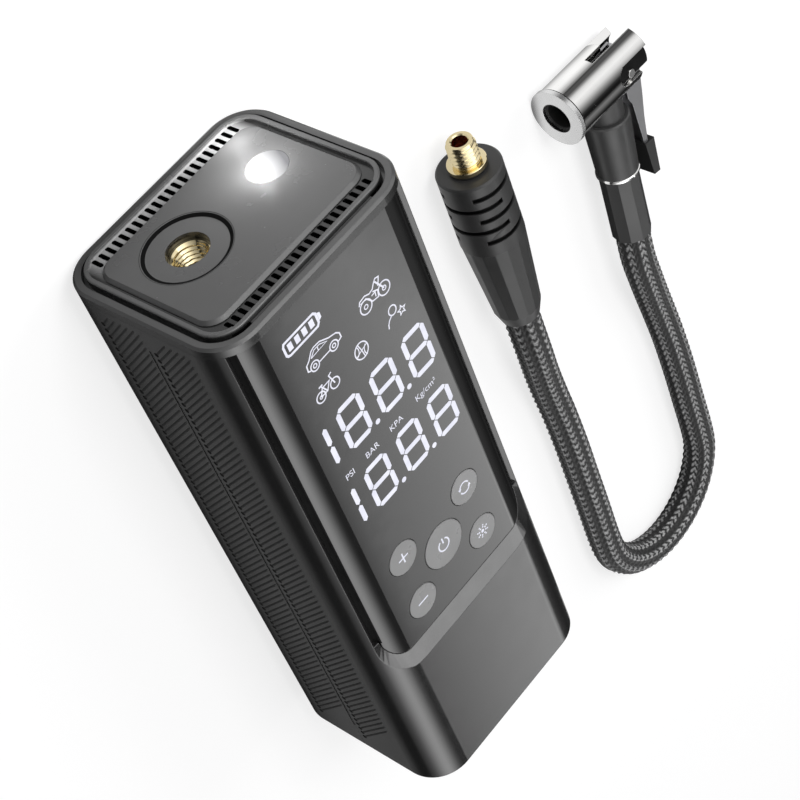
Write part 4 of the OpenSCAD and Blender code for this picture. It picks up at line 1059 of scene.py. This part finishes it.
def make_ribs():
    """Rows of fine slanted ribs with a dimple at the foot of each, on both sides. The ribs are
    coloured darker than the housing, painted shade of the grooves between them, and each dimple is
    a flat black disc, painted shade in place of its hollow.
    """
    ribs = Shape()
    dimple_shade = Shape()
    for side in (-1, 1):
        x0 = side * (HOUSING_HALF - 0.02)
        x1 = side * (HOUSING_HALF + RIB_H)
        xd = side * (HOUSING_HALF + 0.03)
        for first, z_low, z_high in RIB_ROWS:
            for i in range(int((first + RIB_END_Y) / RIB_PITCH) + 1):
                y = first - RIB_PITCH * i
                # painted shade: each dimple is a flat black disc on the surface
                dimple_shade.add([(xd, *p) for p in circle(y, z_low, DIMPLE_R, steps=12)],
                         [tuple(range(12))])
                reach = min(z_high - z_low, RIB_END_Y - y) - RIB_START
                if reach < 1.0:
                    continue
                section = []
                for along in (RIB_START, RIB_START + reach):
                    yy, zz = y + along, z_low + along
                    section += [(x0, yy - RIB_FOOT, zz), (x1, yy - RIB_TOP, zz),
                                (x1, yy + RIB_TOP, zz), (x0, yy + RIB_FOOT, zz)]
                ribs.add(section, [(0, 1, 5, 4), (1, 2, 6, 5), (2, 3, 7, 6), (3, 2, 1, 0),
                                   (4, 5, 6, 7)])
    ribs.piece("side_ribs", "rib_painted_shade", "shell_plastic")
    dimple_shade.piece("side_dimple_shade", "black_and_painted_shade", "black_plastic")


# ---- Small details ----

# Painted shade lining the groove beside the panel: angle and radius round the long corner's centre
CORNER_X, CORNER_Z = 20, 42
GROOVE_SHADE_LINE = [(35.6, 8.85), (37.0, 8.85), (38.2, 8.85), (38.4, 8.15), (43.0, 8.15), (48.2, 8.15)]
# Radius and height of the painted shade rings round the outlet's seat
SEAT_SHADE_RINGS = [(9.35, 82.54), (10.1, 82.9), (10.52, 83.03)]
BOX_FACES = [(0, 1, 3, 2), (4, 6, 7, 5), (0, 4, 5, 1), (2, 3, 7, 6), (0, 2, 6, 4), (1, 5, 7, 3)]


def make_groove_shade_and_seams():
    """Black faces: painted shade in the grooves beside the panel and round the outlet's seat, and
    dark joint lines in the side seams.
    """
    shape = Shape()
    for side in (-1, 1):
        rim = []
        for turn, radius in GROOVE_SHADE_LINE:
            a = math.radians(turn)
            rim.append((side * (CORNER_X + radius * math.sin(a)), CORNER_Z + radius * math.cos(a)))
        count = len(rim)
        verts = [(x, y, z) for y in (-24.0, 79.3) for x, z in rim]
        shape.add(verts, [(i, i + 1, i + 1 + count, i + count) for i in range(count - 1)])
        x = side * (HOUSING_HALF + 0.02)
        shape.add([(x, -72.2, 24.8), (x, 72.2, 24.8), (x, 72.2, 25.22), (x, -72.2, 25.22)],
                  [(0, 1, 2, 3)])
    sides = 72
    verts = [(x, height, z) for radius, height in SEAT_SHADE_RINGS
             for x, z in circle(PORT_X, PORT_Z, radius, steps=sides)]
    shape.add(verts, ring_faces(len(SEAT_SHADE_RINGS), sides))
    shape.piece("groove_shade_and_seams", "black_and_painted_shade", "black_plastic")


def make_rim_filler():
    """Grey strip in the rim's front groove."""
    strip = Shape()
    strip.add([(x, y, z) for x in (-19.0, 19.0) for y in (80.4, 81.75) for z in (49.02, 49.88)],
              BOX_FACES)
    strip.piece("rim_filler", "grey_plastic", "grey_plastic")


def make_screw_drives():
    """Cross recesses of the case screws, drawn at the heads' faces as flat black crosses: painted
    shade in place of the recesses' depth.
    """
    shape = Shape()
    half = 1.35
    for x, y in ((x, y) for x in (-22.4, 22.4) for y in (-74.0, 69.3)):
        for turn in (25, 115):
            a = math.radians(turn)
            ends = [(x + half * d * math.cos(a), y + half * d * math.sin(a)) for d in (1, -1)]
            shape.stroke(ends, 0.64, lambda px, py: (px, py, 3.97))
    shape.piece("screw_drive_shade", "black_and_painted_shade", "black_plastic")


def make_port_tongue():
    """Tongue and contacts inside the charging port."""
    z = 41.4
    y0, y1 = -80.9, -75.5
    tongue = Shape()
    tongue.add([(x, y, z + lift) for y in (y0, y1) for lift in (-0.35, 0.35) for x in (-3.3, 3.3)],
               BOX_FACES)
    tongue.piece("port_tongue", "black_and_painted_shade", "black_plastic")
    contacts = Shape()
    for i in range(8):
        x = -2.45 + 0.7 * i
        for lift in (-0.37, 0.37):
            corners = [(x - 0.17, y0 + 0.2), (x + 0.17, y0 + 0.2), (x + 0.17, y1), (x - 0.17, y1)]
            contacts.add([(a, b, z + lift) for a, b in corners], [(0, 1, 2, 3)])
    contacts.piece("port_contacts", "brass", "brass")


# ---- Floor, world and lamps ----

# What glossy surfaces mirror are the pale and dark cards of a photo studio. Those on the table
# are given by X, and near the chuck by Y, in millimetres
FLOOR_REACH = 300
FLOOR_CARDS = [
    (-250, 0.01), (-110, 0.02), (-60, 0.15), (-32, 0.22), (-18, 0.42), (0, 0.5), (22, 0.65),
    (45, 0.85), (75, 0.7), (100, 0.95), (135, 0.95), (160, 0.6), (195, 0.08), (235, 0.1),
    (290, 1.2),
]
# Near the chuck, the low levels up to about 15 mm in Y, under the barrel, are a painted shadow of
# the barrel
CHUCK_REACH = 200
CHUCK_CARDS = [
    (-200, 0.03), (-9, 0.04), (0, 0.2), (10, 0.28), (13, 0.4), (15, 0.6), (17, 0.92), (20, 1.1),
    (26, 1.1), (38, 0.7), (60, 0.35), (137, 0.08), (200, 0.06),
]

# The cards round the table, by the ray's angle round the long axis from overhead towards +X: for
# level rays and for rays that rise, and, for rays towards +X, by the angle round the cross axis
LONG_CARDS = [
    (-180, 0.12), (-125, 0.01), (-105, 0.02), (-95, 0.10), (-88, 0.20), (-80, 0.33), (-72, 0.60),
    (-62, 1.2), (-52, 1.95), (-42, 2.6), (-34, 2.8), (-28, 2.6), (-20, 2.05), (-11, 1.3),
    (-2, 0.6), (6, 0.22), (14, 0.08), (28.2, 0.06), (28.9, 1.2), (31.5, 1.6), (34, 2.1),
    (36, 2.85), (46, 2.85), (55, 1.85), (65, 0.95), (75, 0.4), (82, 0.45), (92, 0.9), (180, 0.6),
]
RISE_CARDS = [
    (-180, 0.3), (-90, 0.3), (-50, 0.8), (-15, 2.0), (10, 2.7), (40, 2.7), (70, 1.2), (110, 0.6),
    (180, 0.3),
]
CROSS_CARDS = [
    (-180, 0.02), (-84, 0.01), (-72, 0.05), (-60, 0.14), (-49, 0.2), (-40, 0.1), (-32, 0.01),
    (-22, 0.01), (-12, 0.035), (0, 0.2), (8, 0.36), (24, 0.78), (42, 1.0), (54, 0.9), (62, 0.72),
    (70, 0.3), (78, 0.09), (180, 0.07),
]
WHITE = (1.0, 1.0, 1.0)


def floor_cards(f):
    """Levels that the floor shows in reflections."""
    at = f.split(f.node("NewGeometry").outputs["Position"])
    table = f.ramp(f.remap(at["X"], -FLOOR_REACH * MM, FLOOR_REACH * MM), FLOOR_REACH, FLOOR_CARDS)
    # painted shadow: the cards fade to 0.12 under the housing and just past its +Y end, between X
    # -40 and 60 mm, as if the housing shaded them
    painted_shadow = f.remap(at["Y"], 0.084, 0.096, 0.12)
    for low, high, to_low, to_high in ((0.05, 0.06, 0.0, 1.0), (-0.04, -0.03, 1.0, 0.0)):
        painted_shadow = f.math("MAXIMUM", painted_shadow, f.remap(at["X"], low, high, to_low, to_high))
    chuck = f.ramp(f.remap(at["Y"], -CHUCK_REACH * MM, CHUCK_REACH * MM), CHUCK_REACH, CHUCK_CARDS)
    return f.mix(f.remap(at["X"], 0.1055, 0.1080), f.scale(table, painted_shadow), chuck)


def make_floor():
    edge, drop = 4.0, -0.0003
    mesh = bpy.data.meshes.new("floor")
    corners = [(-edge, -edge, drop), (edge, -edge, drop), (edge, edge, drop), (-edge, edge, drop)]
    mesh.from_pydata(corners, [], [(0, 1, 2, 3)])
    material = bpy.data.materials.new("floor")
    material.use_nodes = True
    f = Nodes(material.node_tree)
    f.tree.nodes.clear()

    seen, mirrored = f.ray_kinds()
    pale = f.out("AddShader", f.out("BsdfDiffuse", (0.34, 0.34, 0.34)),
                 f.out("Emission", WHITE, 0.74))
    table = f.out("MixShader", mirrored, f.out("BsdfDiffuse", (0.45, 0.45, 0.45)),
                  f.out("Emission", floor_cards(f)))
    f.feed(f.node("OutputMaterial").inputs["Surface"], f.out("MixShader", seen, table, pale))
    mesh.materials.append(material)
    add_object("floor", mesh)


def make_world():
    world = bpy.data.worlds.new("studio")
    bpy.context.scene.world = world
    world.use_nodes = True
    w = Nodes(world.node_tree)
    w.tree.nodes.clear()
    ray = w.split(w.node("TexCoord").outputs["Generated"])

    def around(across, cards):
        turn = w.math("DIVIDE", w.math("ARCTAN2", across, ray["Z"]), 2 * math.pi)
        return w.ramp(w.math("ADD", turn, 0.5), 180, cards)

    level = w.scale(around(ray["X"], LONG_CARDS), w.remap(ray["Y"], -0.82, -0.66, 0.75, 1.0))
    rising = w.scale(around(ray["X"], RISE_CARDS), w.remap(ray["Y"], -0.38, 0.61, 1.15, 0.72))
    cards = w.mix(w.remap(ray["Y"], -0.56, -0.48), level, rising)
    cards = w.mix(w.remap(ray["X"], 0.40, 0.46), cards, around(ray["Y"], CROSS_CARDS))
    seen, mirrored = w.ray_kinds()
    soft = w.mix(mirrored, (0.38, 0.38, 0.385), cards)
    background = w.out("Background", w.mix(seen, soft, WHITE))
    w.feed(w.node("OutputWorld").inputs["Surface"], background)


def add_light(name, kind, location, power):
    """Lamp that lights the part but isn't mirrored in it."""
    data = bpy.data.lights.new(name, kind)
    data.energy = power
    light = add_object(name, data)
    light.location = location
    light.visible_glossy = False
    return light


def make_lights():
    centre = Vector((0.04, -0.02, 0.02))
    for name, location, size, power in (
        ("key", (0.05, 0.65, 0.9), 0.5, 6.0), ("fill", (0.75, 0.15, 0.6), 0.6, 2.5),
    ):
        light = add_light(name, "AREA", location, power)
        light.data.shape = "SQUARE"
        light.data.size = size
        aim = centre - Vector(location)
        light.rotation_euler = aim.to_track_quat("-Z", "Y").to_euler()
    # glow of the lit lens on the plate and on the grille behind it
    for name, x, lift, z, power in (
        ("lamp_rear", 18.5, 4.6, 11.0, 0.0056), ("lamp_over", 14.0, 5.2, 22.0, 0.0115),
    ):
        light = add_light(name, "POINT", (x * MM, (PLATE_TOP + lift) * MM, z * MM), power)
        light.data.shadow_soft_size = 0.0015


# ---- Scene ----

def main():
    make_camera()
    dress_nodes()
    hose, length = make_hose()
    pieces = [make_fitting(), make_barrel(), *make_lever()]
    declare_hose()
    make_outlet()
    make_figures()
    make_labels()
    make_icons()
    make_key_marks()
    make_ribs()
    make_groove_shade_and_seams()
    make_rim_filler()
    make_screw_drives()
    make_port_tongue()
    make_floor()
    make_world()
    make_lights()


main()
